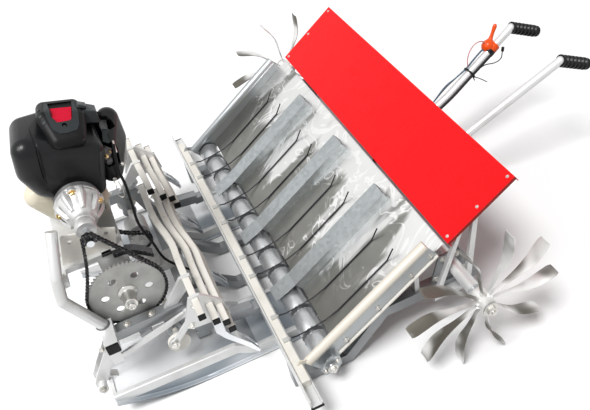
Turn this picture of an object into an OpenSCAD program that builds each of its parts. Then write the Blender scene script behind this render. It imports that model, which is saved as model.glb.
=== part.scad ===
// Walk behind rice transplanter for four rows.
// X runs across the rows to the far side, Y runs forward to the engine, Z is up.
// The origin is on the ground, in the middle of the machine's length and width.

/* [Layout] */
// Distance between two planted rows, and width of one seedling lane
row_pitch = 196; // [180:1:204]
// Height of the wheel axle above the ground
axle_z = 158; // [150:1:170]
// Place of the wheel axle along the machine
axle_y = -93; // [-110:1:-85]
// Wall of the plastic plugs that close the square tubes
plug_t = 3; // [2:0.5:6]

/* [Paddle wheels] */
// Radius over the blade tips
wheel_r = 158; // [140:1:158]
// Distance from the middle of the machine to the middle of a wheel
wheel_x = 486; // [484:1:500]
// Number of blades on one wheel
blade_n = 10; // [8:1:12]
// Width of a blade at its tip
blade_w = 28; // [20:1:34]
// Thickness of the blade strip
blade_t = 3; // [2:0.5:5]
// Length of the bent shovel at the end of a blade
shovel_l = 52; // [30:1:70]
// Diameter of the through axle
axle_d = 18; // [14:1:20]
// Outer diameter of the fixed axle tube
axle_tube_d = 28; // [25:1:34]
// Diameter of the wheel hub
hub_d = 32; // [28:1:44]

/* [Floats] */
// Width of one float
float_w = 136; // [120:1:140]
// Length of one float
float_l = 534; // [460:1:570]
// Depth of a float from the deck to the bottom
float_h = 52; // [40:1:56]
// Rise of the turned up nose
nose_rise = 46; // [20:1:60]
// Width of the flange along the lower edge
float_flange = 10; // [6:1:12]

/* [Frame] */
// Side of the square frame tube
tube = 25; // [20:1:30]
// Distance from the middle of the machine to an outer side rail
side_rail_x = 368; // [352:1:371]
// Distance from the middle of the machine to an inner long rail
long_rail_x = 62; // [50:1:75]
// Length of the foot rail across the machine
foot_rail_l = 960; // [900:2:980]
// Width of the flat side of the foot rail
foot_rail_w = 27; // [25:1:34]
// Height of the upright side of the foot rail
foot_rail_h = 26; // [20:1:30]
// Thickness of the steel of rails and brackets
steel_t = 4; // [3:0.5:6]

/* [Tray] */
// Slope of the tray from the ground
tray_angle = 33.7; // [30:0.1:36]
// Length of the tray floor along its slope
tray_l = 282; // [240:1:290]
// Thickness of the sheet metal
sheet_t = 2; // [1.5:0.5:3]
// Height of the dividers above the floor
divider_h = 24; // [16:1:30]
// Width of a divider
divider_w = 40; // [24:1:44]
// Diameter of the round side tube
side_tube_d = 20; // [16:1:24]
// Diameter of a feed roller
roller_d = 50; // [40:1:52]
// Number of feed rollers in one lane
rollers_per_lane = 3; // [2:1:4]
// Diameter of the feed roller shaft
feed_shaft_d = 12; // [10:1:16]
// Side of the square slide bar
slide_bar = 18; // [14:1:20]
// Length of the slide bar
slide_bar_l = 860; // [800:2:880]
// Diameter of the press wires
wire_d = 3; // [2.5:0.5:4]

/* [Panel] */
// Width of the red panel
panel_w = 800; // [760:1:820]
// Depth of the red panel along its slope
panel_l = 172; // [150:1:180]
// Height of the folded edge
panel_fold = 14; // [8:1:20]

/* [Planting gear] */
// Length of the planting bars
planting_bar_l = 624; // [620:1:650]
// Side of the planting bars
planting_bar = 14; // [12:1:16]
// Width of a planting claw
claw_w = 22; // [16:1:28]
// Gap between the two prongs of a claw
claw_gap = 8; // [5:1:12]
// Diameter of the crank disc
crank_d = 46; // [36:1:60]

/* [Chain drive] */
// Pitch of the roller chain
chain_pitch = 8; // [6:0.1:9.6]
// Teeth of the large sprocket
big_teeth = 60; // [48:1:64]
// Teeth of the small sprocket
small_teeth = 10; // [9:1:12]
// Diameter of a chain roller
chain_roller_d = 4.8; // [4:0.1:5.4]
// Width of the chain over its plates
chain_w = 9; // [7:0.5:12]
// Thickness of the sprockets
sprocket_t = 4; // [3:0.5:5]
// Diameter of the holes in the large sprocket
sprocket_hole_d = 16; // [10:1:20]
// Number of holes in the large sprocket
sprocket_holes = 6; // [4:1:8]
// Diameter of the counter shaft
counter_shaft_d = 16; // [12:1:20]

/* [Engine] */
// Height of the crankshaft
crank_z = 400; // [390:1:410]
// Place of the crankshaft along the machine
crank_y = 523; // [515:1:530]
// Width of the engine body across the machine
engine_w = 150; // [130:1:170]
// Diameter of the clutch housing flange
flange_d = 90; // [84:1:100]

/* [Handles] */
// Distance between the two handle grips
handle_spread = 184; // [150:1:240]
// Height of the start of the grips
handle_z = 293; // [270:1:320]
// Diameter of the handle tube
handle_d = 20; // [16:1:24]
// Diameter of a rubber grip
grip_d = 29; // [26:1:34]
// Length of a rubber grip
grip_l = 86; // [76:1:110]
// Slope of a grip below the level
grip_droop = 27; // [15:1:35]

/* [Hidden] */
$fn = 48;
// A small step, so that a cut passes right through a face
eps = 0.5;
// Running clearance of a shaft in its bore, on the radius
shaft_gap = 0.08;
// Gap between a moving piece and the seat that guides it
seat_gap = 0.3;

// Half the length of a wheel hub
hub_half = 22;

// Stations along the machine, in Y, and heights, in Z
foot_rail_y = 247;
foot_rail_z = 62;
tray_foot_y = 186;
tray_foot_z = 72;
roller_y = 198;
roller_z = 58;
side_rail_z = 105;
keel_z = 15.5;
rear_tube_y = -138;
front_tube_y = 566;
front_tube_z = 195;
front_rail_x = 205;
front_rail_z = front_tube_z - tube / 2 - 12;
cross_z = 68;
counter_y = 504;
counter_z = 246;
crank_pin_y = 451;
crank_pin_z = 115;
sprocket_x = -188;
transfer_x = -20;
transfer_y = 446;
transfer_z = 208;
tray_half = 2 * row_pitch;
side_plate_t = 3;
divider_x = [-row_pitch, 0, row_pitch];
row_x = [-1.5 * row_pitch, -0.5 * row_pitch, 0.5 * row_pitch, 1.5 * row_pitch];
float_x = row_pitch;
float_front = 612;
float_rear = float_front - float_l;
float_tail_h = 22;
float_step_y = 352;
nose_start = 400;
big_pitch_r = chain_pitch / (2 * sin(180 / big_teeth));
small_pitch_r = chain_pitch / (2 * sin(180 / small_teeth));

// Planting bars as rows of: place along Y, height Z
planting_bars_at = [[393, 233], [371, 206], [354, 192], [348, 168]];

// A round rod between two points
module rod(p, q, dia) {
  d = q - p;
  translate(p)
    rotate([0, acos(d[2] / norm(d)), atan2(d[1], d[0])])
      cylinder(d = dia, h = norm(d));
}

// Outline of a bent strip along points in Y and Z, half wide to each side, with mitred bends
function heading(p, i) = (p[i + 1] - p[i]) / norm(p[i + 1] - p[i]);
function left_of(d) = [-d[1], d[0]];
function mitre(p, i) = let (a = left_of(heading(p, max(i - 1, 0))),
  b = left_of(heading(p, min(i, len(p) - 2)))) (a + b) / (1 + a * b);
function strip(p, half) = concat([for (i = [0:len(p) - 1]) p[i] + half * mitre(p, i)],
  [for (i = [len(p) - 1:-1:0]) p[i] - half * mitre(p, i)]);

// A bent bar in a plane of constant X, h deep and w wide
module bent_bar(x, points, h, w)
  along_x(x, w)
    polygon(strip(points, h / 2));

// An outline drawn in Y and Z, centred on x and w wide
module along_x(x, w, y = 0, z = 0) {
  translate([x - w / 2, y, z])
    rotate([90, 0, 90])
      linear_extrude(w)
        children();
}

// A cylinder along X
module rod_x(x0, x1, y, z, dia) {
  translate([x0, y, z])
    rotate([0, 90, 0])
      cylinder(d = dia, h = x1 - x0);
}

// The tray's own axes: x across, y up the slope, z away from the floor
module on_tray() {
  translate([0, tray_foot_y, tray_foot_z])
    rotate([0, 0, 180])
      rotate([tray_angle, 0, 0])
        children();
}

// Copies on both sides of the machine
module both_sides() {
  children();
  mirror([1, 0, 0])
    children();
}

module foot_rail() color("gainsboro")
  along_x(0, foot_rail_l, foot_rail_y, foot_rail_z) {
    square([foot_rail_w, steel_t]);
    square([steel_t, foot_rail_h * 0.4]);
    translate([foot_rail_w - steel_t, 0])
      square([steel_t, foot_rail_h]);
  }

module foot_rail_plugs() color("black")
  both_sides()
    along_x(foot_rail_l / 2 + plug_t / 2, plug_t, foot_rail_y, foot_rail_z)
      square([foot_rail_w, steel_t]);

// The line of a rail that dips under the foot of the tray
rail_path = [[rear_tube_y - tube / 2, side_rail_z], [62, side_rail_z], [150, keel_z]];
bracket_t = 5;

module side_rail(x) {
  color("silver") {
    bent_bar(x, concat(rail_path, [[foot_rail_y + foot_rail_w, keel_z]]), tube, tube);
    along_x(x, tube, foot_rail_y, keel_z + tube / 2)
      square([foot_rail_w, foot_rail_z - keel_z - tube / 2]);
    difference() {
      along_x(x, bracket_t)
        polygon([[axle_y - 42, side_rail_z], [axle_y + 46, side_rail_z],
          [axle_y + 24, axle_z + 24], [axle_y - 24, axle_z + 24]]);
      rod_x(x - bracket_t, x + bracket_t, axle_y, axle_z, axle_tube_d + 2 * shaft_gap);
    }
  }
}

module side_rail_left() side_rail(-side_rail_x);
module side_rail_right() side_rail(side_rail_x);

// Where a front rail bends above the cross member, and where it ends at the foot rail
rail_knee = [398, cross_z + 24];
rail_foot = [foot_rail_y + foot_rail_w + 14, foot_rail_z + 16];

module long_rails() color("silver")
  both_sides() {
    bent_bar(long_rail_x, [[rear_tube_y + tube / 2, side_rail_z], rail_path[1], rail_path[2],
      [foot_rail_y + 40, keel_z], [352, cross_z], [385, cross_z]], 20, 20);
    along_x(front_rail_x, 22) {
      polygon(strip([[front_tube_y + tube / 2, front_rail_z], [425, front_rail_z], rail_knee,
        rail_foot], 12));
      translate([foot_rail_y + foot_rail_w, foot_rail_z])
        square([20, 20]);
    }
  }

module cross_members() color("silver") {
  along_x(0, 2 * side_rail_x - tube, rear_tube_y, side_rail_z)
    square(tube, center = true);
  along_x(0, 2 * front_rail_x + 22, counter_y, front_rail_z - 22)
    square([26, 20], center = true);
  along_x(0, 2 * front_rail_x + 8, 400, cross_z)
    square([30, 20], center = true);
  both_sides()
    difference() {
      along_x(front_rail_x, 8, crank_pin_y, crank_pin_z)
        union() {
          circle(d = 34);
          translate([-14, 0])
            square([28, front_rail_z - 12 - crank_pin_z]);
        }
      rod_x(0, 300, crank_pin_y, crank_pin_z, crank_shaft_d + 2 * shaft_gap);
    }
}

module axle_tube() color("whitesmoke")
  difference() {
    rod_x(-wheel_x + hub_half + 8, wheel_x - hub_half - 8, axle_y, axle_z, axle_tube_d);
    rod_x(-wheel_x, wheel_x, axle_y, axle_z, axle_d + 2 * shaft_gap);
  }

// Struts from the panel down to the side rails, in Y and Z
strut_x = panel_w / 2 - 8;

// Height of the underside of the panel
function panel_under(y) = tray_foot_z + (tray_foot_y - y) * tan(tray_angle) - 0.02;

// Struts as rows of: place of the foot, place of the top, both along Y
struts = [[-48, -106], [-118, -136]];

module panel_struts() color("gray")
  both_sides() {
    for (t = struts)
      along_x(strut_x, 10)
        polygon([[t[0] - 6, side_rail_z], [t[0] + 6, side_rail_z], [t[1] + 6, panel_under(t[1] + 6)],
          [t[1] - 6, panel_under(t[1] - 6)]]);
    translate([side_rail_x + tube / 2, axle_y - 31, side_rail_z - 12])
      cube([strut_x + 5 - side_rail_x - tube / 2, 82, 12]);
  }

// A point of the tray's own axes as a place in Y and Z
function tray_at(s, n) = [tray_foot_y - s * cos(tray_angle) + n * sin(tray_angle),
  tray_foot_z + s * sin(tray_angle) + n * cos(tray_angle)];

// The round rail that carries the back of the tray
floor_rib = 12;
support_d = 20;
support_at = tray_at(228, -floor_rib - seat_gap - support_d / 2);

module tray_support_rail() color("silver") {
  rod_x(-side_rail_x - tube / 2, side_rail_x + tube / 2, support_at[0], support_at[1], support_d);
  both_sides()
    along_x(side_rail_x, 12, support_at[0], side_rail_z + tube / 2)
      translate([-5, 0])
        square([10, support_at[1] - side_rail_z - tube / 2]);
}

// Lower edge of a float from its tail to the nose, in Y and Z
float_bottom = [for (i = [0:8]) [nose_start + (float_front - nose_start) * i / 8,
  nose_rise * pow(i / 8, 2)]];

module float_at(x) {
  deck_front = nose_rise + 14;
  deck = [[float_front, deck_front], [float_step_y, float_h], [float_step_y - 46, float_tail_h],
    [float_rear, float_tail_h], [float_rear, 0]];
  lip = [for (i = [8:-1:0]) float_bottom[i] + [0, 4]];
  color("gainsboro") {
    along_x(x, float_w)
      polygon(concat(float_bottom, deck));
    along_x(x, float_w + 2 * float_flange)
      polygon(concat(float_bottom, lip, [[float_rear, 4], [float_rear, 0]]));
  }
}

module float_left() float_at(-float_x);
module float_right() float_at(float_x);

// Pivot of a float under the front of the frame
front_reach = 638;
pivot_y = front_reach - 13;
pivot_z = 65;
pivot_d = 18;
deck_slope = (nose_rise + 14 - float_h) / (float_front - float_step_y);

// Height of the float deck at a place along Y
function deck_at(y) = float_h + deck_slope * (y - float_step_y);

// Height of the underside of the sloping end of a front rail
rail_slope = (rail_knee[1] - rail_foot[1]) / (rail_knee[0] - rail_foot[0]);
function rail_under(y) = rail_foot[1] + rail_slope * (y - rail_foot[0]) - 12 / cos(atan(rail_slope));

module float_brackets() color("gainsboro")
  both_sides() {
    for (side = [-1, 1])
      along_x(front_rail_x + side * 12.5, 3)
        polygon([[front_tube_y - 8, front_rail_z + 2], [front_tube_y + 12, front_rail_z + 2],
          [pivot_y - 33, pivot_z + 82], [pivot_y - 6, pivot_z + 40], [front_reach, pivot_z + 6],
          [front_reach, pivot_z - 8], [pivot_y - 10, pivot_z - 1], [pivot_y - 24, pivot_z + 24],
          [front_tube_y, front_rail_z - 30]]);
    rod_x(front_rail_x - 30, front_rail_x + 30, pivot_y, pivot_z, pivot_d);
    along_x(front_rail_x, 18)
      polygon([[590, deck_at(590) + 0.02], [float_front + 0.05, deck_at(float_front) + 0.02],
        [pivot_y, pivot_z - 5], [pivot_y, pivot_z + 6], [605, pivot_z + 6]]);
    along_x(front_rail_x, 4)
      polygon([[356, deck_at(356)], [380, deck_at(380)], [380, rail_under(380)], [356, rail_under(356)]]);
  }

// The frame that carries the engine, with legs as rows of: place across, place along, height
shelf_z = 322;
bearing_x = 150;
leg_points = [[207, 570, 207], [207, 613, 305], [190, 606, 345], [150, 580, 420]];
leg_d = 22;

module engine_frame() color("whitesmoke") {
  both_sides() {
    along_x(front_rail_x + 24.5, 65, front_tube_y, front_tube_z)
      square(tube, center = true);
    for (i = [0:len(leg_points) - 2])
      rod(leg_points[i], leg_points[i + 1], leg_d);
    for (i = [1:len(leg_points) - 2])
      translate(leg_points[i])
        sphere(d = leg_d + 0.6);
    difference() {
      along_x(bearing_x, 8, 0, front_rail_z - 12)
        polygon([[491, 0], [517, 0], [532, counter_z - front_rail_z], [532, shelf_z - front_rail_z + 6],
          [476, shelf_z - front_rail_z + 6], [476, counter_z - front_rail_z]]);
      rod_x(0, 300, counter_y, counter_z, counter_shaft_d + 2 * shaft_gap);
    }
  }
  translate([-bearing_x - 4, 476, shelf_z - 6])
    cube([2 * bearing_x + 8, 120, 12]);
  for (side = [-1, 1])
    translate([side * (bearing_x + 20) - 20, 590, shelf_z - 6])
      cube([40, 18, 12]);
}

plate_x = -140;

module engine_plates() color("gainsboro")
  difference() {
    along_x(plate_x, 5)
      polygon([[488, shelf_z + 6], [593, shelf_z + 6], [574, 391], [570, 394], [540, crank_z - 14],
        [506, crank_z - 14], [502, 377], [477, 366]]);
    rod_x(-200, 0, crank_y, crank_z, neck_d);
    for (h = [[561, 375], [496, 362]])
      rod_x(-200, 0, h[0], h[1], 9);
  }

engine_x0 = -79;
engine_x1 = engine_x0 + engine_w;
neck_d = 40;
shaft_d = 14;

module engine_block() color("dimgray")
  difference() {
    union() {
      translate([engine_x0 + 25, crank_y - 42, crank_z - 52])
        cube([engine_w - 25, 84, 150]);
      rod_x(engine_x0, engine_x0 + 30, crank_y, crank_z, flange_d - 4);
    }
    rod_x(engine_x0 - eps, engine_x0 + 20, crank_y, crank_z, shaft_d);
  }

// A smooth body round a few balls, as rows of: distance from the near face of the engine,
// distance along Y and height from the crankshaft, radius
module rounded(points)
  translate([engine_x0, crank_y, crank_z])
    hull()
      for (p = points)
        translate([p[0], p[1], p[2]])
          sphere(r = p[3], $fn = 24);

shroud = [[33, 52, 130, 20], [33, 59, 81, 21], [33, 49, 39, 20], [33, 23, 21, 18], [33, -43, 3, 18],
  [33, -64, 80, 20], [115, 41, 120, 26], [115, 11, 118, 26], [115, -59, 96, 22], [115, -44, 29, 22],
  [115, 54, 80, 26]];
plug_hood = [[27, -15, 126, 15], [27, -49, 120, 15], [109, -9, 150, 15], [109, -58, 136, 15],
  [69, -6, 156, 14], [69, -62, 135, 14]];
cleaner = [[53, -80, 9, 22], [53, -85, 57, 20], [119, -109, 81, 22], [119, -107, 35, 24],
  [119, -97, -7, 22]];
tank = [[69, 70, 4, 24], [69, 47, -40, 23], [69, -34, -49, 22], [123, 55, -2, 24], [123, -31, -50, 22]];

module shroud_body()
  rounded(shroud);

// The hollow that the engine fills
module engine_room() {
  translate([engine_x0 + 24.7, crank_y - 42.3, crank_z - 52.3])
    cube([engine_w + 10, 84.6, 150.6]);
  rod_x(engine_x0 - 20, engine_x0 + 30.3, crank_y, crank_z, flange_d - 3.4);
}

module muffler_cover() color("#2b2b2e")
  difference() {
    shroud_body();
    engine_room();
  }

module plug_cover() color("#2b2b2e")
  difference() {
    rounded(plug_hood);
    shroud_body();
    engine_room();
    translate([engine_x0 + 86, crank_y - 34, crank_z + 157])
      rotate([17.5, 0, 0])
        translate([-20, -17, 0])
          cube([40, 34, 30]);
  }

module air_cleaner() color("#2b2b2e")
  difference() {
    rounded(cleaner);
    shroud_body();
    engine_room();
    translate([engine_x0, crank_y - 92, crank_z + 22])
      cube([54, 34, 70]);
  }

module fuel_tank() color("wheat")
  difference() {
    rounded(tank);
    engine_room();
    shroud_body();
  }

module recoil_starter() color("#2b2b2e")
  translate([engine_x1, crank_y, crank_z + 14])
    rotate([0, 90, 0])
      rotate_extrude()
        polygon([[0, 0], [60, 0], [60, 12], [50, 22], [24, 25], [0, 25]]);

// Bell of the clutch, drawn as distance from the shaft and distance from the engine
module clutch_housing() color("silver")
  difference() {
    translate([engine_x0, crank_y, crank_z])
      rotate([0, -90, 0])
        rotate_extrude()
          polygon([[flange_d / 2 - 9, 0], [flange_d / 2, 0], [flange_d / 2, 10], [flange_d / 2 - 3, 14],
            [28, 44], [neck_d / 2, 50], [neck_d / 2, 83], [shaft_d / 2 + shaft_gap, 83],
            [shaft_d / 2 + shaft_gap, 54], [20, 44], [flange_d / 2 - 9, 12]]);
    for (i = [0:5])
      translate([engine_x0 - 18, crank_y, crank_z])
        rotate([i * 60 + 30, 0, 0])
          translate([-22, -8, 22])
            cube([22, 16, 40]);
  }

module drive_shaft() color("silver")
  rod_x(sprocket_x - 12, engine_x0 + 20, crank_y, crank_z, shaft_d);

// A toothed disc whose teeth stand between the rollers of its chain
module toothed(teeth, pitch_r) {
  root = pitch_r - chain_roller_d / 2 - 0.25;
  tip = pitch_r + chain_roller_d * 0.3;
  step = 360 / teeth;
  // Each tooth as rows of: share of a step, radius
  tooth = [[-0.3, root], [-0.08, tip], [0.08, tip], [0.3, root]];
  polygon([for (i = [0:teeth - 1]) for (c = tooth)
    c[1] * [cos((i + c[0]) * step), sin((i + c[0]) * step)]]);
}

module small_sprocket() color("dimgray")
  difference() {
    along_x(sprocket_x, sprocket_t, crank_y, crank_z)
      toothed(small_teeth, small_pitch_r);
    rod_x(-300, 0, crank_y, crank_z, shaft_d);
  }

boss_x = sprocket_x - 34;

module big_sprocket() color("silver")
  difference() {
    union() {
      along_x(sprocket_x, sprocket_t, counter_y, counter_z)
        toothed(big_teeth, big_pitch_r);
      rod_x(boss_x, sprocket_x, counter_y, counter_z, 26);
    }
    for (i = [0:sprocket_holes - 1])
      along_x(sprocket_x, 2 * sprocket_t, counter_y, counter_z)
        rotate(i * 360 / sprocket_holes + 6)
          translate([big_pitch_r * 0.56, 0])
            circle(d = sprocket_hole_d);
    rod_x(-300, 0, counter_y, counter_z, counter_shaft_d);
  }

module counter_shaft() color("silver") {
  rod_x(boss_x - 8, bearing_x + 8, counter_y, counter_z, counter_shaft_d);
  rod_x(bearing_x + 8, bearing_x + 32, counter_y, counter_z, counter_shaft_d - 2);
  difference() {
    along_x(transfer_x, sprocket_t, counter_y, counter_z)
      toothed(transfer_teeth, transfer_r);
    rod_x(-300, 300, counter_y, counter_z, counter_shaft_d - 1);
  }
}

transfer_teeth = 17;
transfer_r = chain_pitch / (2 * sin(180 / transfer_teeth));

// The two straight runs and two arcs of a chain round circle a and circle b
function chain_arc(c, r, a0, a1, n) = [for (i = [0:n]) c + r * [cos(a0 + (a1 - a0) * i / n),
  sin(a0 + (a1 - a0) * i / n)]];

module belt(a, ra, b, rb) {
  d = norm(b - a);
  dir = atan2(b[1] - a[1], b[0] - a[0]);
  beta = acos((ra - rb) / d);
  polygon(concat(chain_arc(a, ra, dir + beta, dir + 360 - beta, 40),
    chain_arc(b, rb, dir - beta, dir + beta, 16)));
}

chain_h = 7;

// A closed roller chain: two rows of plates, with the rollers of the free runs between them
module chain_loop(x, a, ra, b, rb) {
  d = norm(b - a);
  dir = atan2(b[1] - a[1], b[0] - a[0]);
  beta = acos((ra - rb) / d);
  run = sqrt(d * d - (ra - rb) * (ra - rb));
  links = floor(run / chain_pitch) - 1;
  for (side = [-1, 1])
    along_x(x + side * (chain_w / 2 - 1), 2)
      difference() {
        belt(a, ra + chain_h / 2, b, rb + chain_h / 2);
        belt(a, ra - chain_h / 2, b, rb - chain_h / 2);
      }
  for (side = [-1, 1])
    for (i = [1:links]) {
      t = (i + 0.5 * (run / chain_pitch - links - 1)) * chain_pitch / run;
      pa = a + ra * [cos(dir + side * beta), sin(dir + side * beta)];
      pb = b + rb * [cos(dir + side * beta), sin(dir + side * beta)];
      p = pa + (pb - pa) * t;
      if (min(norm(p - a) - ra, norm(p - b) - rb) > chain_roller_d)
        along_x(x, chain_w - 4, p[0], p[1])
          circle(d = chain_roller_d, $fn = 8);
    }
}

module drive_chain() color("#1d1d1f")
  chain_loop(sprocket_x, [counter_y, counter_z], big_pitch_r, [crank_y, crank_z], small_pitch_r);

module transfer_chain() color("#1d1d1f")
  chain_loop(transfer_x, [counter_y, counter_z], transfer_r, [transfer_y, transfer_z], transfer_r);

case_x0 = 0;
case_w = 44;
case_r = 24;

module transfer_gearbox() color("gray") {
  a = [transfer_y, transfer_z];
  b = [crank_pin_y, crank_pin_z];
  dir = atan2(b[1] - a[1], b[0] - a[0]);
  side = [cos(dir + 90), sin(dir + 90)];
  difference() {
    along_x(case_x0 + case_w / 2, case_w)
      union() {
        translate(a)
          circle(r = case_r);
        translate(b)
          circle(r = case_r);
        polygon([a + case_r * side, b + case_r * side, b - case_r * side, a - case_r * side]);
        translate([388, cross_z + 10])
          square([56, 20]);
      }
    rod_x(case_x0 - eps, 100, crank_pin_y, crank_pin_z, crank_shaft_d);
  }
  rod_x(transfer_x - 8, case_x0, transfer_y, transfer_z, 14);
  difference() {
    along_x(transfer_x, sprocket_t, transfer_y, transfer_z)
      toothed(transfer_teeth, transfer_r);
    rod_x(-300, 300, transfer_y, transfer_z, 12);
  }
}

crank_shaft_d = 12;
disc_x = 242;
disc_w = 8;
crank_throw = 14;
crank_at = [crank_pin_y + crank_throw * 0.6, crank_pin_z + crank_throw * 0.8];
link_pin_at = [415, 172];
crank_pin_d = 8;

module crank_discs() color("wheat") {
  rod_x(-disc_x, disc_x, crank_pin_y, crank_pin_z, crank_shaft_d);
  both_sides() {
    rod_x(disc_x - disc_w / 2, disc_x + disc_w / 2, crank_pin_y, crank_pin_z, crank_d);
    rod_x(disc_x, disc_x + disc_w / 2 + 12, crank_at[0], crank_at[1], crank_pin_d);
  }
}

rod_plane = disc_x + disc_w / 2 + 5;
stay_plane = 230;

module connecting_rods() color("gainsboro")
  both_sides() {
    along_x(rod_plane, 6)
      difference() {
        union() {
          polygon(strip([crank_at, link_pin_at], 6));
          translate(crank_at)
            circle(d = 18);
          translate(link_pin_at)
            circle(d = 18);
        }
        translate(crank_at)
          circle(d = crank_pin_d);
      }
    along_x(stay_plane, 6) {
      polygon(strip([[573, 129], link_pin_at], 6));
      translate(link_pin_at)
        circle(d = 18);
      translate([562, 118])
        square([22, front_tube_z - tube / 2 - 118]);
    }
    rod_x(stay_plane, link_x - 3, link_pin_at[0], link_pin_at[1], 10);
  }

module planting_bars() color("beige")
  for (b = planting_bars_at)
    along_x(0, planting_bar_l, b[0], b[1])
      square(planting_bar, center = true);

link_x = 265;

module planting_links() color("gainsboro")
  both_sides() {
    difference() {
      along_x(link_x, 6)
        polygon([[404, 245], [382, 245], [343, 204], [337, 159], [356, 157], [408, 161], [426, 168],
          [426, 184]]);
      planting_bars();
    }
    difference() {
      along_x(front_rail_x, 8)
        polygon([[426, front_rail_z + 12], [454, front_rail_z + 12], [404, 243], [383, 243], [383, 224]]);
      planting_bars();
    }
  }

// Side view of one planting arm, in Y and Z
arm = [[361, 198.9], [379, 198.9], [379, 166], [366, 140], [330, 88], [312, 58], [308, 64], [320, 92],
  [353, 142], [361, 160]];

module planting_claws() color("silver")
  for (x = row_x)
    difference() {
      along_x(x, claw_w)
        polygon(arm);
      translate([x - claw_gap / 2, 290, 40])
        cube([claw_gap, 80, 70]);
    }

module wheel_axle() color("silver")
  rod_x(-wheel_x - hub_half - 2, wheel_x + hub_half + 2, axle_y, axle_z, axle_d);

blade_bend = 26;
tip_r = wheel_r - blade_t / 2 * sin(blade_bend);
bend_r = sqrt(pow(tip_r, 2) - pow(shovel_l * sin(blade_bend), 2)) - shovel_l * cos(blade_bend);
lead = asin(shovel_l * sin(blade_bend) / tip_r);

module paddle_wheel(x) color("gainsboro")
  translate([x, axle_y, axle_z])
    difference() {
      union() {
        rod_x(-hub_half, hub_half, 0, 0, hub_d);
        for (i = [0:blade_n - 1])
          rotate([i * 360 / blade_n + 180 - lead, 0, 0]) {
            translate([0, blade_t / 2, 0])
              rotate([90, 0, 0])
                linear_extrude(blade_t)
                  polygon([[-6, hub_d / 2 - 1], [6, hub_d / 2 - 1], [blade_w / 2 - 2, bend_r],
                    [2 - blade_w / 2, bend_r]]);
            translate([0, 0, bend_r])
              rotate([-blade_bend, 0, 0])
                translate([0, blade_t / 2, 0])
                  rotate([90, 0, 0])
                    linear_extrude(blade_t)
                      polygon([[2 - blade_w / 2, -0.6], [blade_w / 2 - 2, -0.6], [blade_w / 2, shovel_l],
                        [-blade_w / 2, shovel_l]]);
          }
      }
      rod_x(-30, 30, 0, 0, axle_d);
    }

module paddle_wheel_left() paddle_wheel(-wheel_x);
module paddle_wheel_right() paddle_wheel(wheel_x);

floor_start = 14;

module tray_floor() color("silver")
  on_tray() {
    translate([1 - tray_half, floor_start, -sheet_t])
      cube([2 * tray_half - 2, tray_l - floor_start, sheet_t]);
    for (s = [48, 150, 228, tray_l - 12])
      translate([1 - tray_half, s - 6, -floor_rib])
        cube([2 * tray_half - 2, 12, floor_rib - sheet_t]);
  }

// Tongue of a divider that runs on over the rollers, in the tray's own axes
divider_tongue = [[floor_start, divider_h - sheet_t], [floor_start, divider_h], [-40, divider_h + 7],
  [-40, divider_h + 7 - sheet_t]];

module tray_dividers() color("lightgray") {
  on_tray()
    for (x = divider_x)
      difference() {
        translate([x - divider_w / 2, floor_start, 0])
          cube([divider_w, tray_l - floor_start, divider_h]);
        translate([x - divider_w / 2 + sheet_t, floor_start - eps, 0])
          cube([divider_w - 2 * sheet_t, tray_l, divider_h - sheet_t]);
      }
  on_tray()
    for (x = divider_x)
      translate([x - divider_w / 2, 0, 0])
        rotate([90, 0, 90])
          linear_extrude(divider_w)
            polygon(divider_tongue);
}

side_x = tray_half + 0.5;
bar_z0 = foot_rail_z + steel_t + seat_gap;

// A place in Y and Z as a point of the tray's own axes
function in_tray(y, z) = [(z - tray_foot_z) * sin(tray_angle) - (y - tray_foot_y) * cos(tray_angle),
  (y - tray_foot_y) * sin(tray_angle) + (z - tray_foot_z) * cos(tray_angle)];

// Outline of a tray side in the tray's own axes, and the line of its upper edge
side_tube_n = 34;
side_plate = [[-34, -20], [60, -12], [tray_l, -12], [tray_l, side_tube_n], [-27, side_tube_n], [-45, 58],
  in_tray(262, bar_z0 + slide_bar + 0.06), in_tray(251.5, bar_z0 + slide_bar + 0.06), [-44, 40], [-42, 0]];

module tray_side(x) color("silver") {
  difference() {
    on_tray()
      translate([x - side_plate_t / 2, 0, 0])
        rotate([90, 0, 90])
          linear_extrude(side_plate_t)
            polygon(side_plate);
    rod_x(-500, 500, roller_y, roller_z, feed_shaft_d + 2 * shaft_gap);
  }
  inner = x > 0 ? -1 : 1;
  on_tray()
    translate([x + inner * 2.5, -40, side_tube_n])
      rotate([-90, 0, 0])
        cylinder(d = side_tube_d, h = tray_l + 40);
}

// Plate at the driven end of the roller shaft, on two spacers
module feed_plate() color("silver")
  translate([-side_x - 14, 0, 0]) {
    difference() {
      along_x(0, 3)
        polygon([[212, 36], [222, 58], [196, 86], [178, 78], [176, 52], [190, 36]]);
      rod_x(-10, 10, roller_y, roller_z, feed_shaft_d + 2 * shaft_gap);
    }
    for (p = [[209, 52], [187, 66]])
      rod_x(0, 14, p[0], p[1], 8);
  }

module tray_side_left() {
  tray_side(side_x);
  feed_plate();
}
module tray_side_right() tray_side(-side_x);

module slide_bar() {
  color("beige")
    along_x(0, slide_bar_l, foot_rail_y + steel_t + seat_gap, bar_z0)
      square(slide_bar);
  color("black")
    both_sides()
      along_x(slide_bar_l / 2 + plug_t / 2, plug_t, foot_rail_y + steel_t + seat_gap, bar_z0)
        square(slide_bar);
}

// A press wire in the tray's own axes, as rows of: place up the slope, distance from the floor
wire_path = [[-48.6, 51.6], [-34, 36], [-8, 22], [25, 8], [60, wire_d / 2 + 0.3], [200, wire_d / 2 + 0.3],
  [225, 14]];
lane_third = row_pitch / rollers_per_lane;
wire_x = [for (lane = [-2:1]) for (k = [1, 2]) lane * row_pitch + k * lane_third];

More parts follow.
